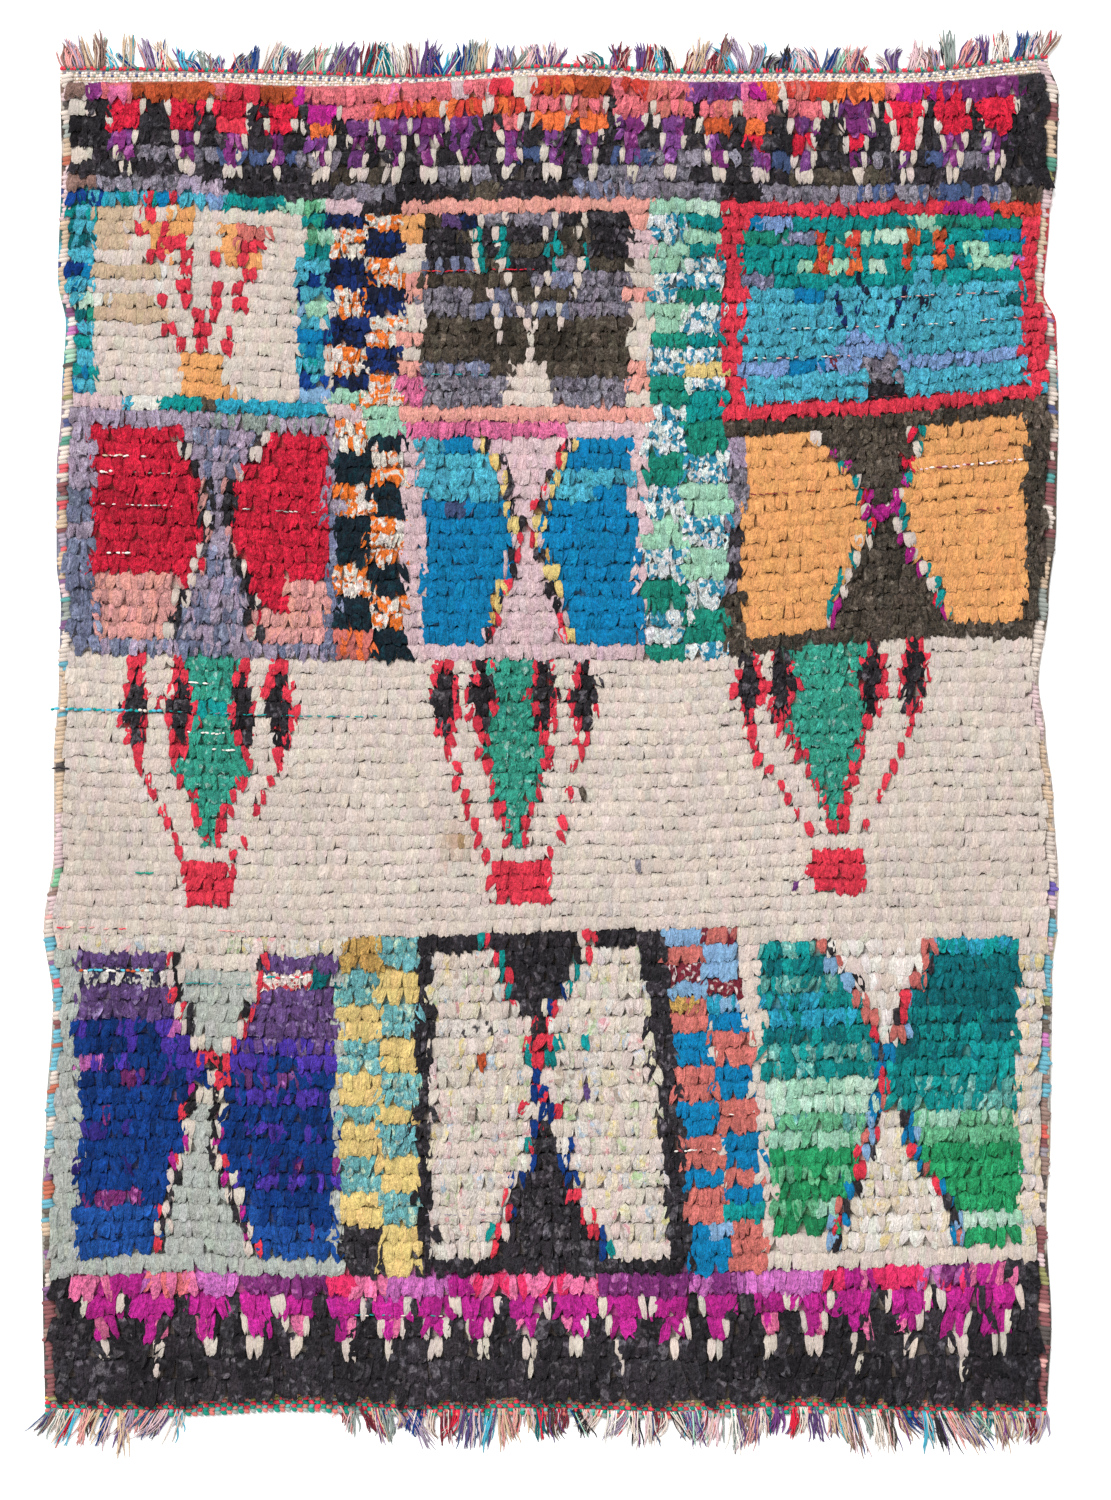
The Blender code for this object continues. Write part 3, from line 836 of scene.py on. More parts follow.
class Finish:
    """A material under construction."""

    def __init__(self, name, **constants):
        self.material = bpy.data.materials.new(name)
        self.material.use_nodes = True
        self.tree = self.material.node_tree
        self.surface = self.tree.nodes["Principled BSDF"]
        for name, value in constants.items():
            socket = name.replace("_", " ").title().replace("Ior", "IOR")
            self.surface.inputs[socket].default_value = value

    def node(self, kind, settings=None, sockets=None, output=0):
        """Adds a node: its settings first, then the values or links of its sockets."""
        node = self.tree.nodes.new(kind)
        for name, value in (settings or {}).items():
            setattr(node, name, value)
        for name, value in (sockets or {}).items():
            if isinstance(value, Shade):
                self.tree.links.new(value.socket, node.inputs[name])
            else:
                node.inputs[name].default_value = value
        return Shade(self, node.outputs[output])

    def place(self):
        return self.node("ShaderNodeTexCoord", output="Object")

    def attribute(self, name, output="Color"):
        settings = {"attribute_type": "GEOMETRY", "attribute_name": name}
        return self.node("ShaderNodeAttribute", settings, output=output)

    def noise(self, place, scale, detail=2.0, roughness=0.5):
        sockets = {"Vector": place, "Scale": scale, "Detail": detail, "Roughness": roughness}
        return self.node("ShaderNodeTexNoise", None, sockets, "Fac")

    def waves(self, place, direction, scale, distortion=0.0):
        settings = {"wave_type": "BANDS", "bands_direction": direction}
        sockets = {"Vector": place, "Scale": scale, "Distortion": distortion}
        return self.node("ShaderNodeTexWave", settings, sockets, "Fac")

    def mixed(self, factor, first, second):
        settings = {"data_type": "RGBA", "blend_type": "MIX"}
        return self.node("ShaderNodeMix", settings, {0: factor, 6: first, 7: second}, 2)

    def scaled(self, colour, factor):
        sockets = {0: colour, "Scale": factor}
        return self.node("ShaderNodeVectorMath", {"operation": "SCALE"}, sockets)

    def feed(self, socket, value):
        self.tree.links.new(value.socket, self.surface.inputs[socket])

    def raised(self, height, strength, distance):
        """Bumps the surface by a height from 0 to 1, as deep as the distance."""
        sockets = {"Strength": strength, "Distance": distance, "Height": height}
        self.feed("Normal", self.node("ShaderNodeBump", None, sockets))


def pile_finish():
    """Torn cotton rag: printed or plain, heathered, creased along each strip and softly napped, with the
    shade of its creases and crumples painted into its colour.
    """
    finish = Finish("rag_pile_cloth", roughness=0.95, specular_ior_level=0.06, sheen_weight=0.03)
    place = finish.place()
    strip = finish.attribute("strip", "Vector")
    share = finish.attribute("ink", "Alpha")
    crisp = finish.attribute("rag", "Alpha")
    blotch = finish.noise(strip, 0.10, 1.0)
    printed = ((blotch - (0.66 - 0.34 * share)) * 14.0).limited() * (share > 0.03)
    dyed = finish.mixed(printed, finish.attribute("rag"), finish.attribute("ink"))
    thread = finish.noise(place, 1100.0, 2.0)
    mottle = finish.noise(place, 300.0, 3.0, 0.6)
    settings = {"operation": "MULTIPLY"}
    along = finish.node("ShaderNodeVectorMath", settings, {0: strip, 1: (0.30, 0.07, 0.37)})
    crease = finish.noise(along, 1.0, 3.0, 0.62)
    fold = finish.node("ShaderNodeMath", {"operation": "ABSOLUTE"}, {0: crease - 0.5}) * 5.0
    fold = fold.limited()
    crumple_and_shade = (finish.noise(place, 170.0, 3.0, 0.65) - 0.5) * (0.12 + 0.88 * crisp)
    # The colour's shade: threads and mottling of the heathered cloth, with painted shade and light along
    # the creases (fold) and the crumples, deeper for crisper rags. The same creases and crumples also
    # bump the surface.
    shade = 0.52 + 0.10 * thread + 0.10 * mottle + 0.21 * crisp + (0.12 + 0.22 * crisp) * fold
    finish.feed("Base Color", finish.scaled(dyed, shade + 1.5 * crumple_and_shade - 0.10 * crisp))
    height = fold * (0.30 + 0.45 * crisp) + mottle * 0.2 + thread * 0.1 + 1.4 * crumple_and_shade
    finish.raised(height, 0.9, 0.005)
    return finish.material


def ground_finish():
    """The woven ground between the knots, with the weft's ribs across it."""
    finish = Finish("woven_ground", roughness=0.95, specular_ior_level=0.06, sheen_weight=0.03)
    place = finish.place()
    ribs = finish.waves(place, "X", 95.0, 1.5)
    picks = finish.waves(place, "Y", 60.0, 2.0)
    thread = finish.noise(place, 900.0, 2.0)
    factor = 0.62 + 0.18 * ribs + 0.14 * picks + 0.2 * thread
    finish.feed("Base Color", finish.scaled(finish.attribute("rag"), factor))
    finish.raised(ribs * 0.45 + picks * 0.35 + thread * 0.2, 0.6, 0.0015)
    return finish.material


def yarn_finish(name, twist_scale):
    """Thin twisted yarn: the ply shows as fine slanting lines and a soft fuzz."""
    finish = Finish(name, roughness=0.9, specular_ior_level=0.1, sheen_weight=0.04)
    place = finish.place()
    ply = finish.waves(place, "DIAGONAL", twist_scale, 1.0)
    fuzz = finish.noise(place, 1100.0, 2.0)
    finish.feed("Base Color", finish.scaled(finish.attribute("rag"), 0.70 + 0.2 * ply + 0.25 * fuzz))
    finish.raised(ply * 0.6 + fuzz * 0.4, 0.5, 0.0006)
    return finish.material


def floor_finish(colour):
    """A plain pale studio floor with the faintest grain."""
    finish = Finish("studio_floor", roughness=0.7)
    place = finish.place()
    grain = finish.noise(place, 40.0, 3.0)
    base = finish.mixed(grain * 0.5, (*colour, 1.0), (*(0.985 * share for share in colour), 1.0))
    finish.feed("Base Color", base)
    return finish.material


def paint_points(mesh, name, colours):
    """Stores a colour for each point of a mesh, with its fourth share where it has one."""
    full = np.ones((len(mesh.vertices), 4))
    full[:, : colours.shape[1]] = colours
    layer = mesh.color_attributes.new(name, "FLOAT_COLOR", "POINT")
    layer.data.foreach_set("color", full.ravel().astype(np.float32))


def add_piece(name, mesh, material, replaces=()):
    """Puts a finished mesh into the scene as a piece of the rug."""
    mesh.materials.append(material)
    mesh.shade_smooth()
    piece = bpy.data.objects.new(name, mesh)
    bpy.context.scene.collection.objects.link(piece)
    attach(piece, "root")
    if replaces:
        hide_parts(*replaces)
    return piece


def mesh_of(name, shape):
    """A mesh of a finished shape."""
    mesh = bpy.data.meshes.new(name)
    shape.to_mesh(mesh)
    shape.free()
    return mesh


def repeated(name, shape, points):
    """Joins many copies of one small shape. The points are (copy, point of the shape, xyz)."""
    shape.verts.index_update()
    faces = [[vert.index for vert in face.verts] for face in shape.faces]
    shape.free()
    copies, count = points.shape[:2]
    mesh = bpy.data.meshes.new(name)
    joined = []
    for corners in sorted({len(face) for face in faces}):
        group = np.array([face for face in faces if len(face) == corners])
        steps = np.arange(copies)[:, None, None] * count
        joined += (group[None] + steps).reshape(-1, corners).tolist()
    mesh.from_pydata(placed(points.reshape(-1, 3)).tolist(), [], joined)
    return mesh


def coloured_grid(x, y, z, tints):
    """A sheet of quads, from the place and the colour of each of its points."""
    rows, columns = np.broadcast(x, y, z).shape
    shape = bmesh.new()
    bmesh.ops.create_grid(shape, x_segments=columns - 1, y_segments=rows - 1, size=0.5)
    layer = shape.verts.layers.float_color.new("rag")
    points = placed(np.stack(np.broadcast_arrays(x, y, z), axis=-1)).reshape(-1, 3)
    tints = np.broadcast_to(tints, (rows, columns, 3)).reshape(-1, 3)
    for vert, point, tint in zip(shape.verts, points, tints):
        vert.co = point
        vert[layer] = (*tint, 1)
    return shape


def strand_shape(sides, stations):
    """A closed strand drawn out of a small polygon: each point's station is its height."""
    shape = bmesh.new()
    bmesh.ops.create_circle(shape, cap_ends=True, segments=sides, radius=1)
    face = list(shape.faces)[0]
    for _ in range(stations - 1):
        face = bmesh.ops.extrude_discrete_faces(shape, faces=[face])["faces"][0]
        bmesh.ops.translate(shape, verts=face.verts, vec=(0, 0, 1))
    bmesh.ops.holes_fill(shape, edges=[edge for edge in shape.edges if edge.is_boundary])
    bmesh.ops.recalc_face_normals(shape, faces=shape.faces)
    points = np.array([vert.co for vert in shape.verts])
    return shape, np.round(points[:, 2]).astype(int), points[:, :2]


def petal_shape(across, along):
    """A flat petal: each point's share across it and along it, from its root to its tip."""
    shape = bmesh.new()
    bmesh.ops.create_grid(shape, x_segments=across - 1, y_segments=along - 1, size=0.5)
    points = np.array([vert.co for vert in shape.verts])
    return shape, points[:, 0] + 0.5, 0.5 - points[:, 1]


def flares(chart):
    """Which way each tuft flares: -1 or 1 towards another rag beside it in its row, else 0."""
    changes = (chart.rag[1:] != chart.rag[:-1]) & (chart.knot[1:] == chart.knot[:-1])
    right = np.append(changes, False)
    left = np.insert(changes, 0, False)
    both = right & left
    flare = np.where(right, 1.0, 0.0) - np.where(left, 1.0, 0.0)
    flare[both] = np.where(chart.chance[both] < 0.5, 1.0, -1.0)
    return flare


# How a tuft changes from its root (0) to its tip (1): shares along it, and the values there
SOFT_BREADTH = ((0, 0.35, 0.7, 1), (0.85, 1.0, 1.0, 0.94))
TORN_BREADTH = ((0, 0.35, 0.7, 1), (0.86, 1.0, 1.0, 0.80))
SPEAR_BREADTH = ((0, 0.3, 0.6, 1), (0.75, 1.0, 0.86, 0.18))
LEAF_BREADTH = ((0, 0.3, 0.65, 1), (0.6, 1.0, 0.95, 0.42))
TUFT_DROP = ((0, 0.2, 0.4, 0.6, 0.8, 1), (0, 0.13, 0.36, 0.62, 0.85, 1))
TUFT_RISE = ((0, 0.2, 0.4, 0.6, 0.8, 1), (0.0, 0.72, 0.93, 1.0, 0.97, 0.86))
TUFT_FADE = ((0, 0.25, 1), (0.3, 0.9, 1.0))
# Height of a tuft's root and of its lowest point, and how many tufts flare where two rags meet
ROOT_HEIGHT = 6.5
LEAST_HEIGHT = 1.0
FLARING = 0.34
# Points across and along a tuft, and its size in the noise of its material
TUFT_GRID = (4, 6)
STRIP_WIDTH = 9
STRIP_LENGTH = 24


def tuft_points(chart, where, u, v, settings):
    """Every point of some tufts: a strip of rag that rises from its root, rolls over the crest of
    its row and lies down over the next, creased along its length and torn at its tip. Where two
    rags meet, a tuft may flare out over its neighbour to a point."""
    draw = np.random.default_rng(settings.seed + 17)
    everything = len(chart.x)
    across = np.unique(np.round(u, 4))
    column = np.searchsorted(across, np.round(u, 4))
    creases = draw.uniform(-1, 1, (everything, len(across)))[where][:, column]
    torn = draw.uniform(-1, 1, (everything, len(across)))[where][:, column]
    rumple = draw.normal(0, 1, (3, everything, len(u)))[:, where]
    size, turn, lift, sway, reach, droop, start, roll = (
        draw.uniform(-1, 1, (everything, 1))[where] for _ in range(8)
    )
    flare = (flares(chart) * (draw.random(everything) < FLARING))[where, None]

    # From here on, each value of a tuft has a row of its own, and spreads over the points
    x, knot, share, band = (
        item[where, None] for item in (chart.x, chart.knot, chart.share, chart.band)
    )
    slim = chart.slim[where, None]
    crisp = CRISPNESS[chart.rag[where, None]]
    root = weft_height(knot + 0.02, share)
    pitch = root - weft_height(knot + 1.02, share)
    root = root + 1.5 * start + 1.6 * unevenness(x, knot * 13.0, 34.0, 14)
    spacing = settings.tuft_pitch / MM * WIDENING[band]
    flare = np.where(slim, 0.0, flare)
    pointed = np.where(flare != 0, 1.0, 0.0)
    single = slim * 1.0
    border = (band == HEAD_BORDER) | (band == FOOT_BORDER)
    wide = spacing * settings.tuft_overlap * (1 + 0.24 * size) * (1.1 - 0.08 * crisp + 0.1 * pointed)
    wide *= 1 - single * np.where(border, 0.36, 0.16)
    reach = reach * (0.10 + 0.09 * crisp) + 0.03 * pointed - 0.10 * single
    reach = reach + 0.09 * unevenness(x, knot * 17.0, 19.0, 12) + 0.06 - 0.02 * crisp
    long = pitch * (settings.tuft_lap + reach)
    rough = 0.12 + 0.98 * crisp
    tall = settings.tuft_height / MM + rough * lift + 0.8 * pointed + 2.3 * single
    tall += 1.5 * unevenness(x, root, 55.0, 1) + fold_rise(x, root)
    tall += rough * 0.6 * unevenness(x, knot * 23.0, 17.0, 9)
    angle = np.radians(8 + 13 * crisp) * turn + 0.14 * unevenness(x, root, 60.0, 8)
    angle += flare * np.radians(12)
    tip = rough * (1.8 * droop + 0.6) + 1.3 * unevenness(x, knot * 29.0, 26.0, 13) - 0.7

    side = 2 * u - 1
    soft = np.interp(v, *SOFT_BREADTH)
    plain = soft + (np.interp(v, *TORN_BREADTH) - soft) * crisp
    breadth = plain + (np.interp(v, *SPEAR_BREADTH) - plain) * pointed
    breadth = breadth + (np.interp(v, *LEAF_BREADTH) - plain) * single
    fade = np.interp(v, *TUFT_FADE)

    local_x = side * breadth * wide / 2 + sway * 1.6 * v
    local_x = local_x + 0.7 * torn * v
    local_y = -long * np.interp(v, *TUFT_DROP)
    local_y = local_y + torn * (0.55 + 0.45 * crisp) * settings.raggedness / MM * v**4
    local_z = ROOT_HEIGHT + (tall - ROOT_HEIGHT) * np.interp(v, *TUFT_RISE) - 0.9 * side**2 * fade
    local_z = local_z + tip * v**3 + side * (roll * 1.9 * rough) * fade
    local_z = local_z + creases * (rough * settings.crease_depth / MM) * fade
    local_z = local_z + rumple[2] * (0.18 + 0.95 * crisp) * fade
    local_x = local_x + rumple[0] * (0.35 + 0.45 * crisp) * fade
    local_y = local_y + rumple[1] * (0.4 + 0.7 * crisp) * fade
    turned_x = local_x * np.cos(angle) - local_y * np.sin(angle)
    turned_y = local_x * np.sin(angle) + local_y * np.cos(angle)
    places = [x + turned_x, root + turned_y, np.maximum(local_z, LEAST_HEIGHT)]
    return np.stack(places, axis=-1)


def coloured_chart(settings):
    """The painted chart, with each tuft's own colour, ink and printed share."""
    chart = draw_design(settings)
    return chart, tuft_colours(chart)


class RUG_OT_pile(bpy.types.Operator):
    """Knots the pile: six pieces, one for each band of the design, a petal of rag for each tuft"""

    bl_idname = "rag_rug.pile"
    bl_label = "Knot the Pile"

    def execute(self, context):
        settings = context.scene.rag_rug_pile
        chart, (rag, ink, share) = coloured_chart(settings)
        material = pile_finish()
        for band, name in enumerate(BAND_NAMES):
            where = np.flatnonzero(chart.band == band)
            shape, u, v = petal_shape(*TUFT_GRID)
            mesh = repeated(name, shape, tuft_points(chart, where, u, v, settings))
            # Painted shade: each tuft's colour and ink are darkened towards its root and a little
            # towards its sides, where the tufts around it shade it
            shadow = 0.86 + 0.14 * np.clip(v / 0.3, 0, 1) - 0.03 * (2 * u - 1) ** 2
            paints = (("rag", rag, RAG_CREASE_SHADE_AND_BUMP[chart.rag]), ("ink", ink, share))
            for paint, colours, fourth in paints:
                tone = colours[where, None] * shadow[:, None]
                last = np.repeat(fourth[where, None, None], len(u), 1)
                paint_points(mesh, paint, np.concatenate([tone, last], axis=2).reshape(-1, 4))
            away = (where[:, None] * 7.31) % 89.0 * STRIP_WIDTH
            strip = np.broadcast_arrays(u * STRIP_WIDTH, v * STRIP_LENGTH, away)
            layer = mesh.attributes.new("strip", "FLOAT_VECTOR", "POINT")
            layer.data.foreach_set("vector", np.stack(strip, axis=-1).ravel().astype(np.float32))
            add_piece(name, mesh, material)
        return {"FINISHED"}


# The ground cloth lies flat: how high its weave stands over its thickness, in millimetres, in and
# between the rows
WEAVE_IN_ROWS = 3.0
WEAVE_BETWEEN_ROWS = 4.4


class RUG_OT_ground(bpy.types.Operator):
    """Weaves the thin ground cloth that the pile is knotted on, in place of the CAD cloth"""

    bl_idname = "rag_rug.ground"
    bl_label = "Weave the Ground"

    def execute(self, context):
        cloth = context.scene.rag_rug_cloth
        chart, (rag, ink, share) = coloured_chart(context.scene.rag_rug_pile)
        dyed = rag * (1 - share[:, None]) + ink * share[:, None]
        rows = [knot + part for knot in range(KNOT_ROWS) for part in (0, 0.5)]
        rows = np.array([HEAD_ROW, -0.5, -0.02, *rows, KNOT_ROWS, FOOT_ROW])
        left, right = (end[:, None] for end in row_ends(rows))
        shares = np.linspace(0, 1, cloth.columns + 1)
        x = left + (right - left) * shares
        near = np.zeros(x.shape, int)
        for index, knot in enumerate(np.clip(np.floor(rows), 0, KNOT_ROWS - 1)):
            tufts = np.flatnonzero(chart.knot == knot)
            places = np.searchsorted(chart.x[tufts], x[index])
            near[index] = tufts[np.clip(places, 0, len(tufts) - 1)]
        rows = rows[:, None]
        inside = (rows >= 0) & (rows <= KNOT_ROWS)
        tints = 0.12 * WARP_YARN + 0.62 * dyed[near]
        tints = np.where(inside[..., None], tints, WARP_YARN * 0.9)
        rim = np.minimum(x - left, right - x) - SELVEDGE
        weave = inside * np.where(rows % 1, WEAVE_BETWEEN_ROWS, WEAVE_IN_ROWS)
        height = cloth.thickness / MM + np.clip(rim / 6, 0, 1) * weave
        shape = coloured_grid(x, weft_height(rows, shares), height, tints)
        made = bmesh.ops.extrude_face_region(shape, geom=shape.faces[:])["geom"]
        for item in made:
            if isinstance(item, bmesh.types.BMVert):
                item.co.z = 0
        bmesh.ops.recalc_face_normals(shape, faces=shape.faces)
        mesh = mesh_of("rug_ground", shape)
        piece = add_piece("rug_ground", mesh, ground_finish(), ["rug_cloth"])
        laid = [bpy.data.objects[name] for name in BAND_NAMES]
        laid += [item for item in bpy.data.objects if item.name.startswith(("edge_", "end_"))]
        return {"FINISHED"}


# The wraps down each selvedge, from the head: the knot row each colour starts at
LEFT_WRAPS = (
    "-1 cream 0 blush 1 coal 1.5 cream 2.6 greygreen 3.4 tan 4.6 rust 5.2 blush 9 tan 11 cream 12.2 tan"
    " 14.2 blush 15 plum 15.6 white 16.4 lilac 17 white 18 mint 18.8 coal 19.2 tan 21 mossy 21.6 cream"
    " 22.6 royal 23.2 cream 23.8 seagreen 24.4 cream 25.4 red 26 cream 26.6 maroon 27.3 greygreen"
    " 27.8 red 28.2 tan 29.3 maroon 29.8 lavender 30.4 red 30.9 tan 32.4 purple 32.9 blush 33.5 teal"
    " 34 greygreen 35 purple 35.6 cream 37.6 turquoise 38.2 tan 41 turquoise 41.4 tan 44.6 coal 45 tan"
    " 48 blush 51.8 grassy 52.8 dusty_brown 53.4 blush 54.8 rose 55.2 cream 56.4 turquoise 57 cream"
    " 57.6 purple 58 turquoise 58.8 red 59.2 turquoise 60.6 cream 61.2 maroon 61.6 turquoise 62.4 rust"
    " 62.8 turquoise 64 cream 64.8 rust 65.2 turquoise 66.6 cream 67.4 turquoise 68.4 sage 69 purple"
    " 70.4 rust 71.4 turquoise 72 brown 72.4 turquoise 72.8 tan 73.6 olive 74.4 purple 75 dusty_brown"
    " 75.6 cream 76.4 purple 77 maroon 78.4 dusty_brown 78.8 maroon 80.4 coal 80.8 maroon 81.8 mossy"
    " 82 seagreen"
)
RIGHT_WRAPS = (
    "-1 blush 0.6 cream 1.6 maroon 2.6 tan 4.4 seagreen 5.2 mossy 5.8 blush 8 tan 11 cream 13 tan"
    " 15 blush 16 purple 16.4 cream 17.6 maroon 18 teal 18.6 white 20 greygreen 21.4 cream 22.6 royal"
    " 23.2 tan 24.2 cream 24.8 maroon 25.4 cream 26 maroon 26.6 ink_blue 27 teal 27.6 maroon 29 cream"
    " 30.2 maroon 30.8 olive 32 tan 34 greygreen 36 cream 40 blush 44 tan 50 cream 53.6 violet 54.4"
    " blush 55.4 brown 55.8 turquoise 57 blush 58 turquoise 60.6 mossy 61 brown 61.6 turquoise 62"
    " brown 62.8 lilac 63.6 turquoise 65 dusty_brown 65.6 turquoise 66.4 dusty_brown 68.2 redorange"
    " 68.8 maroon 69.4 heather 70 dusty_brown 71 coal 71.8 cream 72.6 navy 73.2 cream 74 maroon 75.6"
    " blush 76.4 mossy 77.2 maroon 77.8 rose 78.2 maroon 78.8 coal 79.6 maroon 80.2 rose 80.6 maroon"
)


def wrap_rags(text, knots):
    """The rag of each wrap of a selvedge, from words that say where each rag starts."""
    words = text.split()
    starts = np.array([float(word) for word in words[0::2]])
    rags = rag_numbers(words[1::2])
    return rags[np.clip(np.searchsorted(starts, knots, side="right") - 1, 0, len(rags) - 1)]


# A selvedge: half its width, the height of its middle and half its thickness, how many faces go
# round it, and how thick a wrap is at the four places that its length is divided into
SELVEDGE_HALF = 9.6
SELVEDGE_HEIGHT = 5.2
SELVEDGE_DEPTH = 4.9
SELVEDGE_SIDES = 10
WRAP_BULGE = np.array([0.74, 0.98, 1.0, 0.92])


class RUG_OT_selvedges(bpy.types.Operator):
    """Wraps the warp bundles down both sides with short lengths of rag in changing colours"""

    bl_idname = "rag_rug.selvedges"
    bl_label = "Wrap the Selvedges"

    def execute(self, context):
        wrap = context.scene.rag_rug_cloth.wrap_pitch / MM
        material = yarn_finish("wrapped_selvedge", 160.0)
        sides = (
            ("edge_left_selvedge", LEFT_EDGE, 0.0, 1, LEFT_WRAPS),
            ("edge_right_selvedge", RIGHT_EDGE, 1.0, -1, RIGHT_WRAPS),
        )
        for name, table, share, inwards, wraps in sides:
            draw = np.random.default_rng(23 + int(share))
            top, bottom = float(weft_height(-0.9, share)), float(weft_height(82.9, share))
            wraps_down = int((top - bottom) / wrap)
            number = np.repeat(np.arange(wraps_down), len(WRAP_BULGE))
            bulge = np.tile(WRAP_BULGE, wraps_down)
            first = np.tile(np.arange(len(WRAP_BULGE)) == 0, wraps_down)
            y = np.linspace(top, bottom, len(number))
            half = SELVEDGE_HALF * bulge * draw.uniform(0.62, 1.12, wraps_down)[number]
            sway = draw.uniform(-1.8, 2.6, wraps_down)[number]
            middle = side_edge(table, y) + inwards * (SELVEDGE_HALF + sway)
            knots = np.interp(-y, -weft_height(np.arange(-1, 84), share), np.arange(-1, 84))
            rags = wrap_rags(wraps, knots[number * len(WRAP_BULGE)])
            # Painted shade: the first ring of each wrap, where it narrows to meet the wrap before, is
            # darkened to just over half its tone
            tone = draw.uniform(0.78, 1.08, wraps_down)[number] * (0.55 + 0.45 * ~first)
            tint = (0.78 * RAG_COLOURS[rags] + 0.22 * WORN_YARN) * tone[:, None]
            turn = np.arange(SELVEDGE_SIDES + 1) / SELVEDGE_SIDES * 2 * math.pi
            x = middle[:, None] + half[:, None] * np.cos(turn)
            z = SELVEDGE_HEIGHT + SELVEDGE_DEPTH * bulge[:, None] * np.sin(turn)
            y = y[:, None] + 1.2 * np.cos(turn) * inwards
            shape = coloured_grid(x, y, z, tint[:, None])
            bmesh.ops.remove_doubles(shape, verts=shape.verts, dist=0.00001)
            rims = [edge for edge in shape.edges if edge.is_boundary]
            bmesh.ops.holes_fill(shape, edges=rims)
            bmesh.ops.recalc_face_normals(shape, faces=shape.faces)
            add_piece(name, mesh_of(name, shape), material)
        return {"FINISHED"}


def stitched_line(row, offset, pitch, size, names, seed, slant, part=(0, 1)):
    """Plump slanting stitches along a weft: their places, sizes, angles and rags. Each stitch's
    size is its length, width and height."""
    draw = np.random.default_rng(seed)
    left, right = row_ends(row)
    count = int((right - left) * (part[1] - part[0]) / pitch)
    share = part[0] + (part[1] - part[0]) * (np.arange(count) + 0.5) / count
    x = left + (right - left) * share + draw.uniform(-0.6, 0.6, count)
    y = weft_height(row, share) + offset + draw.uniform(-0.5, 0.5, count)
    z = 3.4 + draw.uniform(-0.3, 0.3, count)
    rags = np.resize(rag_numbers(names.split()), count)
    angle = slant + draw.uniform(-0.15, 0.15, count)
    sizes = np.tile(size, (count, 1)) / 2 * draw.uniform(0.88, 1.12, (count, 1))
    return np.stack([x, y, z], axis=-1), sizes, angle, rags


def stitch_mesh(name, lines):
    """One mesh of all the stitches of some lines, coloured by their rags."""
    middles, sizes, angles, rags = (np.concatenate(part) for part in zip(*lines))
    shape = bmesh.new()
    bmesh.ops.create_uvsphere(shape, u_segments=6, v_segments=4, radius=1)
    ball = np.array([vert.co for vert in shape.verts])
    x, y, z = np.moveaxis(ball * sizes[:, None, :], -1, 0)
    cos, sin = np.cos(angles)[:, None], np.sin(angles)[:, None]
    east, north, high = middles.T[..., None]
    points = [east + x * cos - y * sin, north + x * sin + y * cos, np.maximum(high + z, 0.2)]
    mesh = repeated(name, shape, np.stack(points, axis=-1))
    draw = np.random.default_rng(len(rags))
    tint = RAG_COLOURS[rags] * draw.uniform(0.8, 1.1, (len(rags), 1))
    paint_points(mesh, "rag", np.repeat(tint, len(ball), 0))
    return mesh


# Wefts that show in the grooves of the pile: knot row, from, to, width, share that shows, rags
WEFTS = [
    (41.0, -697, -545, 4.6, 0.95, "turquoise teal cream turquoise"),
    (41.0, -545, -235, 2.2, 0.7, "teal heather teal"),
    (39.0, -502, -466, 3.0, 0.5, "white"),
    (42.4, -506, -455, 3.4, 0.8, "white"),
    (43.5, -478, -440, 3.2, 0.7, "white"),
    (25.0, -635, -565, 3.2, 0.7, "white tan"),
    (26.0, -628, -600, 4.4, 0.95, "white"),
    (26.0, -600, -524, 1.8, 0.6, "greygreen rose"),
    (28.0, -624, -520, 2.0, 0.7, "greygreen white"),
    (28.0, -436, -328, 2.0, 0.7, "white greygreen"),
    (31.0, -624, -575, 3.4, 0.6, "white"),
    (26.0, 505, 656, 3.4, 0.85, "blush maroon white blush"),
    (27.0, 281, 440, 1.8, 0.4, "rust maroon"),
    (29.0, 578, 656, 2.0, 0.5, "maroon"),
    (16.0, 266, 651, 1.9, 0.5, "rose white turquoise"),
    (14.0, 480, 651, 1.7, 0.5, "rose"),
    (18.0, 266, 420, 2.2, 0.5, "white rose"),
    (21.0, 300, 640, 1.6, 0.5, "maroon"),
    (12.0, -177, -17, 2.0, 0.8, "rust crimson"),
    (19.0, -177, -85, 1.8, 0.7, "teal"),
    (69.0, 175, 231, 3.2, 0.9, "white maroon white"),
    (67.0, 233, 271, 1.8, 0.6, "white"),
    (58.3, -656, -558, 4.0, 0.9, "turquoise white navy rust turquoise"),
    (58.5, -400, -345, 3.6, 0.8, "white red teal"),
    (59.0, -508, -415, 1.8, 0.6, "teal"),
    (78.0, -284, -149, 2.4, 0.7, "maroon cream teal"),
    (52.0, -578, -557, 3.0, 0.9, "seagreen"),
    (45.0, -695, -674, 3.0, 0.9, "coal"),
    (55.8, -706, -593, 2.4, 0.7, "crimson coal rose"),
    (55.8, -463, -425, 2.2, 0.8, "rose"),
    (8.0, 286, 420, 1.8, 0.5, "navy"),
    (72.6, -180, -60, 1.6, 0.4, "heather"),
    (64.2, 20, 120, 1.6, 0.5, "coal"),
]
WEFT_STEP = 6.5
WEFT_TOP = 16.2


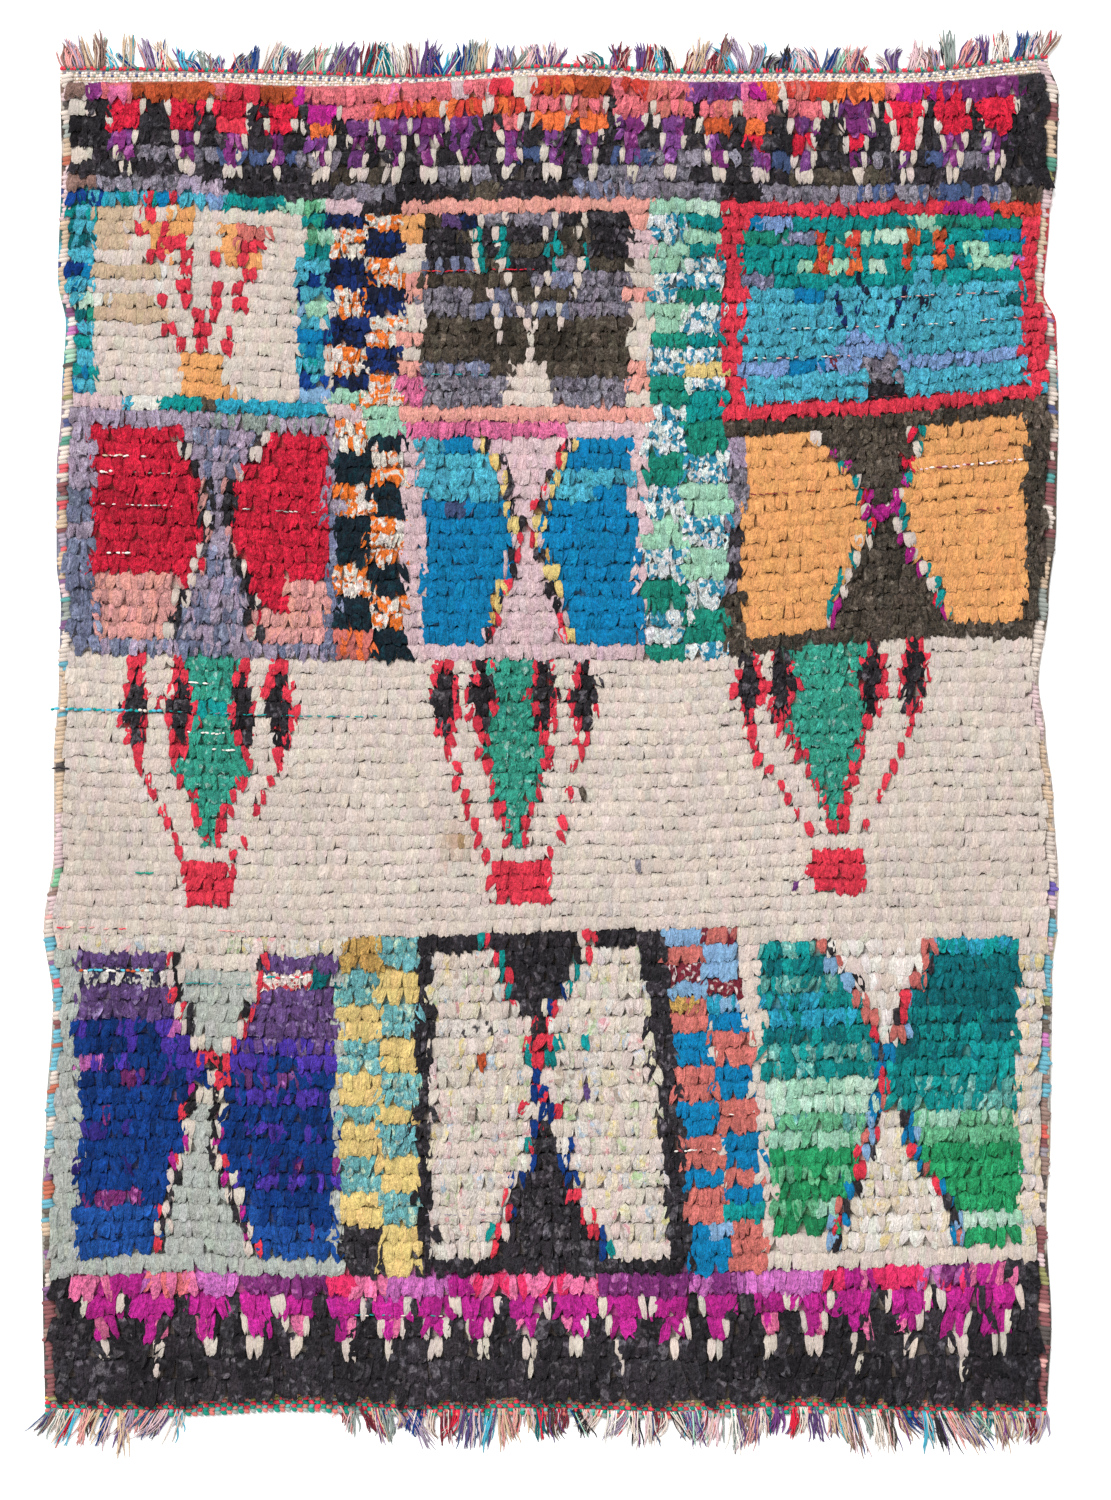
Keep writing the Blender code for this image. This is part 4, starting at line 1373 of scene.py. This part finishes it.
def weft_dashes(seed, row, start, end, wide, shown, names):
    """Short flat stitches of weft in the groove above a row."""
    draw = np.random.default_rng(seed)
    left, right = row_ends(row)
    x = np.arange(start, end, WEFT_STEP)
    x = x[draw.random(len(x)) < shown]
    x = x + draw.uniform(-1.5, 1.5, len(x))
    count = len(x)
    y = weft_height(row, (x - left) / (right - left)) + draw.uniform(-0.8, 0.8, count)
    z = WEFT_TOP + draw.uniform(-0.5, 0.5, count)
    choice = rag_numbers(names.split())
    rags = choice[draw.integers(0, len(choice), count)]
    sizes = np.stack([draw.uniform(6, 11, count), np.full(count, wide), np.full(count, 3.4)], -1) / 2
    return np.stack([x, y, z], axis=-1), sizes, draw.uniform(-0.25, 0.25, count), rags


# Lines of stitches at each end: knot row, how far above it, from one stitch to the next, length,
# width and height of a stitch, rags, seed, slant and the part of the way across
FLAT_WEAVE = "cream heather white cream greygreen cream denim white"
HEAD_LINES = [
    (HEAD_ROW, 6.2, 4.6, (7.6, 6.0, 5.4), "red red seagreen", 31, 0.5, (0, 0.52)),
    (HEAD_ROW, 6.4, 4.4, (6.4, 8.0, 5.4), "red red seagreen greygreen", 40, 0.1, (0.52, 1)),
    (HEAD_ROW, -0.6, 4.2, (5.6, 4.6, 4.4), FLAT_WEAVE, 32, 0.2),
    (-0.72, 0.0, 4.2, (5.6, 4.8, 4.4), " ".join(FLAT_WEAVE.split()[::-1]), 33, -0.2),
    (-0.42, 0.0, 4.3, (5.6, 4.8, 4.4), "cream white tan cream", 34, 0.2),
    (-0.14, 0.0, 4.3, (5.6, 4.8, 4.4), "cream blush white sage", 39, -0.2),
]
FOOT_STITCH = (9.8, 6.8, 5.6)
FOOT_LINES = [
    (FOOT_ROW, -2.6, 8.2, FOOT_STITCH, "red greygreen coral mossy", 35, 0.4),
    (FOOT_ROW, -8.2, 8.2, FOOT_STITCH, "seagreen red", 36, -0.4),
    (FOOT_ROW, -13.8, 8.2, FOOT_STITCH, "coral greyteal red seagreen", 37, 0.4),
    (FOOT_ROW, -19.0, 8.2, FOOT_STITCH, "seagreen coral greygreen", 38, -0.4),
    (FOOT_ROW, 3.4, 5.6, (8.0, 4.6, 8.0), "ochre tan mossy rust", 47, 0.3),
]


class RUG_OT_edgings(bpy.types.Operator):
    """Twines the red and green line across each end, over a strip of flat weaving"""

    bl_idname = "rag_rug.edgings"
    bl_label = "Twine the Edgings"

    def execute(self, context):
        material = yarn_finish("twined_yarn", 220.0)
        wefts = [weft_dashes(number, *line) for number, line in enumerate(WEFTS)]
        head, foot = ([stitched_line(*line) for line in lines] for lines in (HEAD_LINES, FOOT_LINES))
        for name, mesh, lines, slot in (
            ("edge_weft_lines", "weft_lines", wefts, "rag_pile"),
            ("end_head_twining", "head_twining", head, "fringe_yarn"),
            ("end_foot_twining", "foot_twining", foot, "fringe_yarn"),
        ):
            add_piece(name, stitch_mesh(mesh, lines), material)
        return {"FINISHED"}


YARNS = written_out(
    "cream*3 tan*3 rose*2 blush*3 dusty_brown*2 greygreen*2 deepteal maroon*2 royal denim mint coal"
    " brown heather_purple*3 purple white turquoise crimson lavender*2"
)
# A lock and the edging it hangs out of overlap by this much
LOCK_ROOT = 4
# Yarns that would be shorter than this are left out, which makes the gaps in a fringe
SHORTEST_YARN = 10
# Sides of a yarn, and places along it where it bends
YARN_SIDES = 3
YARN_STATIONS = 8


class RUG_OT_fringes(bpy.types.Operator):
    """Hangs the warp ends out of both edgings as locks of thin yarns in many colours"""

    bl_idname = "rag_rug.fringes"
    bl_label = "Hang the Fringes"

    def execute(self, context):
        settings = context.scene.rag_rug_fringe
        material = yarn_finish("fringe_yarn_cotton", 300.0)
        spacing = settings.lock_spacing / MM
        ends = (
            ("end_head_fringe", HEAD_FRINGE, HEAD_ROW, 1, HEAD_EDGING, "head_fringe", 41),
            ("end_foot_fringe", FOOT_FRINGE, FOOT_ROW, -1, FOOT_EDGING, "foot_fringe", 42),
        )
        for name, table, row, outwards, edging, node, seed in ends:
            draw = np.random.default_rng(seed)
            places, lengths, leans = np.array(table, float).T
            left, right = row_ends(row)
            locks = int((right - left) / spacing)
            lock = np.repeat(np.arange(locks), settings.yarns)
            count = len(lock)
            spread = draw.uniform(-0.5, 0.5, count)
            share = (lock + 0.5 + 0.85 * spread + draw.uniform(-0.25, 0.25, locks)[lock]) / locks
            share = np.clip(share, 0.001, 0.999)
            length = np.interp(share, places, lengths)
            keep = length > SHORTEST_YARN
            length = length * draw.uniform(0.75, 1.25, locks)[lock] * draw.uniform(0.7, 1.05, count)
            lean = np.interp(share, places, leans)
            lean = lean + draw.normal(0, 9, locks)[lock] + draw.normal(0, 5, count)
            gather = draw.uniform(-0.35, 0.5, locks)[lock] * spread * settings.lock_spacing / MM
            bend = draw.normal(0, 11, locks)[lock] + draw.normal(0, 3, count)
            curl = draw.uniform(0.4, 2.6, count)
            phase = draw.uniform(0, 6.28, count)
            shades = draw.integers(0, len(YARNS), (3, locks))
            pick = draw.random(count)
            names = np.where(pick < 0.62, shades[0][lock], shades[1][lock])
            names = np.where(pick > 0.82, shades[2][lock], names)
            names = np.where(pick > 0.92, draw.integers(0, len(YARNS), count), names)
            tint = RAG_COLOURS[rag_numbers(YARNS)[names]] * draw.uniform(0.8, 1.15, count)[:, None]

            # From here on, each value of a yarn has a row of its own, and spreads over the points
            values = (share, length, lean, gather, bend, curl, phase)
            share, length, lean, gather, bend, curl, phase = (item[keep, None] for item in values)
            count = len(share)
            shape, station, around = strand_shape(YARN_SIDES, YARN_STATIONS)
            along = station / (YARN_STATIONS - 1)
            rise = draw.uniform(1.5, 5.5, (count, 1))
            thick = settings.yarn_thickness / MM / 2 * draw.uniform(0.75, 1.2, (count, 1))
            wave = curl * np.sin(along * 7.5 + phase) * along**0.7
            middle_x = left + (right - left) * share + (lean + gather) * along
            middle_x = middle_x + bend * (along**2 - 0.4 * along) + wave
            reach = (length + LOCK_ROOT) * along * (1 - 0.10 * along * np.abs(bend / 7))
            root_y = weft_height(row, share) + outwards * (edging - LOCK_ROOT)
            middle_z = rise * (1 - along**1.5) + 1.2
            middle_z = middle_z + 1.4 * np.sin(along * 4 + phase) * along
            radius = thick * np.interp(along, (0, 0.75, 1), (1.0, 0.85, 0.35))
            z = np.maximum(middle_z + radius * around[:, 1], 0.15)
            points = [middle_x + radius * around[:, 0], root_y + outwards * reach, z]
            mesh = repeated(name, shape, np.stack(points, axis=-1))
            paint_points(mesh, "rag", np.repeat(tint[keep], len(station), 0))
            add_piece(name, mesh, material, [node])
        return {"FINISHED"}


# The camera: how far to the right of the middle it stands, and the height of its sensor
CAMERA_ACROSS = 0.0063
SENSOR_HEIGHT = 24
# The key light, in degrees: how wide it looks from the floor, and how it is turned
KEY_WIDTH = 24
KEY_TURN = (-36, -22, 0)


class RUG_OT_studio(bpy.types.Operator):
    """Lays the floor and sets the light and the camera straight above the rug"""

    bl_idname = "rag_rug.studio"
    bl_label = "Set the Studio"

    def execute(self, context):
        studio = context.scene.rag_rug_studio
        shape = bmesh.new()
        bmesh.ops.create_grid(shape, x_segments=1, y_segments=1, size=studio.floor_size / 2)
        bmesh.ops.translate(shape, verts=shape.verts, vec=(0, 0, -0.0005))
        mesh = mesh_of("floor", shape)
        mesh.materials.append(floor_finish(studio.floor_colour))
        floor = bpy.data.objects.new("floor", mesh)
        context.scene.collection.objects.link(floor)

        lamp = bpy.data.lights.new("key_light", "SUN")
        lamp.energy = studio.key_strength
        lamp.angle = math.radians(KEY_WIDTH)
        key = bpy.data.objects.new("key_light", lamp)
        key.rotation_euler = [math.radians(turn) for turn in KEY_TURN]
        context.scene.collection.objects.link(key)
        world = bpy.data.worlds.new("studio")
        world.use_nodes = True
        background = world.node_tree.nodes["Background"]
        background.inputs["Color"].default_value = (1, 1, 1, 1)
        background.inputs["Strength"].default_value = studio.fill_strength
        context.scene.world = world
        context.scene.view_settings.view_transform = "Standard"

        camera = bpy.data.cameras.new("camera")
        camera.sensor_fit = "VERTICAL"
        camera.sensor_height = SENSOR_HEIGHT
        camera.lens = SENSOR_HEIGHT * studio.camera_height / studio.view_height
        camera.clip_end = 100
        eye = bpy.data.objects.new("camera", camera)
        eye.location = (CAMERA_ACROSS + SHIFT[0], SHIFT[1], studio.camera_height)
        context.scene.collection.objects.link(eye)
        context.scene.camera = eye
        return {"FINISHED"}


def length_setting(name, description, default):
    """A setting that is a length."""
    return bpy.props.FloatProperty(
        name=name, description=description, default=default, unit="LENGTH"
    )


def share_setting(name, description, default, most):
    """A setting that is a share or a strength, up to a most."""
    return bpy.props.FloatProperty(
        name=name, description=description, default=default, subtype="FACTOR", max=most
    )


def count_setting(name, description, default):
    """A setting that is a whole number."""
    return bpy.props.IntProperty(name=name, description=description, default=default)


class RUG_PG_pile(bpy.types.PropertyGroup):
    """The tufts"""

    tuft_pitch: length_setting("Tuft pitch", "From one tuft to the next along a row", 0.0068)
    tuft_overlap: share_setting("Tuft overlap", "Width of a tuft as a share of the pitch", 1.75, 2.0)
    tuft_lap: share_setting("Tuft lap", "Length of a tuft as a share of its row", 1.13, 2.0)
    tuft_height: length_setting("Tuft height", "From the floor to the crest of a row", 0.0165)
    crease_depth: length_setting("Crease depth", "Depth of the creases along a tuft", 0.0021)
    raggedness: length_setting("Raggedness", "How far the torn tips stick out or fall short", 0.0042)
    seed: count_setting("Seed", "Draws another set of tufts", 11)


class RUG_PG_cloth(bpy.types.PropertyGroup):
    """The ground cloth and its selvedges"""

    thickness: length_setting("Thickness", "Thickness of the ground cloth", 0.0042)
    columns: count_setting("Columns", "Columns of the ground cloth's mesh", 126)
    wrap_pitch: length_setting("Wrap pitch", "From one wrap of a selvedge to the next", 0.0064)


class RUG_PG_fringe(bpy.types.PropertyGroup):
    """The fringes"""

    lock_spacing: length_setting("Lock spacing", "From one lock of fringe to the next", 0.0165)
    yarns: count_setting("Yarns in a lock", "How many yarns hang in a lock", 12)
    yarn_thickness: length_setting("Yarn thickness", "Thickness of a fringe yarn at its root", 0.0036)


class RUG_PG_studio(bpy.types.PropertyGroup):
    """The floor, the light and the camera"""

    floor_size: length_setting("Floor size", "Side of the square floor", 12.0)
    floor_colour: bpy.props.FloatVectorProperty(
        name="Floor colour",
        description="Colour of the studio floor",
        default=(0.93, 0.93, 0.93),
        subtype="COLOR",
    )
    key_strength: share_setting(
        "Key strength", "Strength of the soft light from the head of the rug", 3.3, 20.0
    )
    fill_strength: share_setting("Fill strength", "Strength of the light from all round", 0.98, 5.0)
    camera_height: length_setting("Camera height", "From the floor to the camera", 8.0)
    view_height: length_setting(
        "View height", "How much of the floor the picture shows from top to bottom", 2.1
    )


class RUG_PT_panel(bpy.types.Panel):
    """Lists the rug's sizes and steps"""

    bl_idname = "RUG_PT_panel"
    bl_label = "Rag Rug"
    bl_space_type = "VIEW_3D"
    bl_region_type = "UI"
    bl_category = "Rag Rug"

    def draw(self, context):
        layout = self.layout
        for title, attribute, steps in STEPS:
            box = layout.box()
            box.label(text=title)
            group = getattr(context.scene, attribute)
            for name in group.bl_rna.properties.keys():
                if name not in ("rna_type", "name"):
                    box.prop(group, name)
            for step in steps:
                box.operator(step.bl_idname)


STEPS = (
    ("Pile", "rag_rug_pile", (RUG_OT_pile,)),
    ("Cloth", "rag_rug_cloth", (RUG_OT_selvedges, RUG_OT_edgings, RUG_OT_ground)),
    ("Fringes", "rag_rug_fringe", (RUG_OT_fringes,)),
    ("Studio", "rag_rug_studio", (RUG_OT_studio,)),
)
GROUPS = {
    "rag_rug_pile": RUG_PG_pile,
    "rag_rug_cloth": RUG_PG_cloth,
    "rag_rug_fringe": RUG_PG_fringe,
    "rag_rug_studio": RUG_PG_studio,
}
OPERATORS = (
    RUG_OT_studio,
    RUG_OT_pile,
    RUG_OT_selvedges,
    RUG_OT_edgings,
    RUG_OT_fringes,
    RUG_OT_ground,
)


def register():
    """Adds the rug's settings, operators and panel to Blender."""
    for item in (*GROUPS.values(), *OPERATORS, RUG_PT_panel):
        bpy.utils.register_class(item)
    for name, group in GROUPS.items():
        setattr(bpy.types.Scene, name, bpy.props.PointerProperty(type=group))


def unregister():
    """Takes them out again."""
    for name in GROUPS:
        delattr(bpy.types.Scene, name)
    for item in (RUG_PT_panel, *reversed(OPERATORS), *GROUPS.values()):
        bpy.utils.unregister_class(item)


def main():
    """Builds the rug and its stage."""
    register()
    bpy.ops.rag_rug.studio()
    bpy.ops.rag_rug.pile()
    bpy.ops.rag_rug.selvedges()
    bpy.ops.rag_rug.edgings()
    bpy.ops.rag_rug.fringes()
    bpy.ops.rag_rug.ground()


if __name__ == "__main__":
    main()
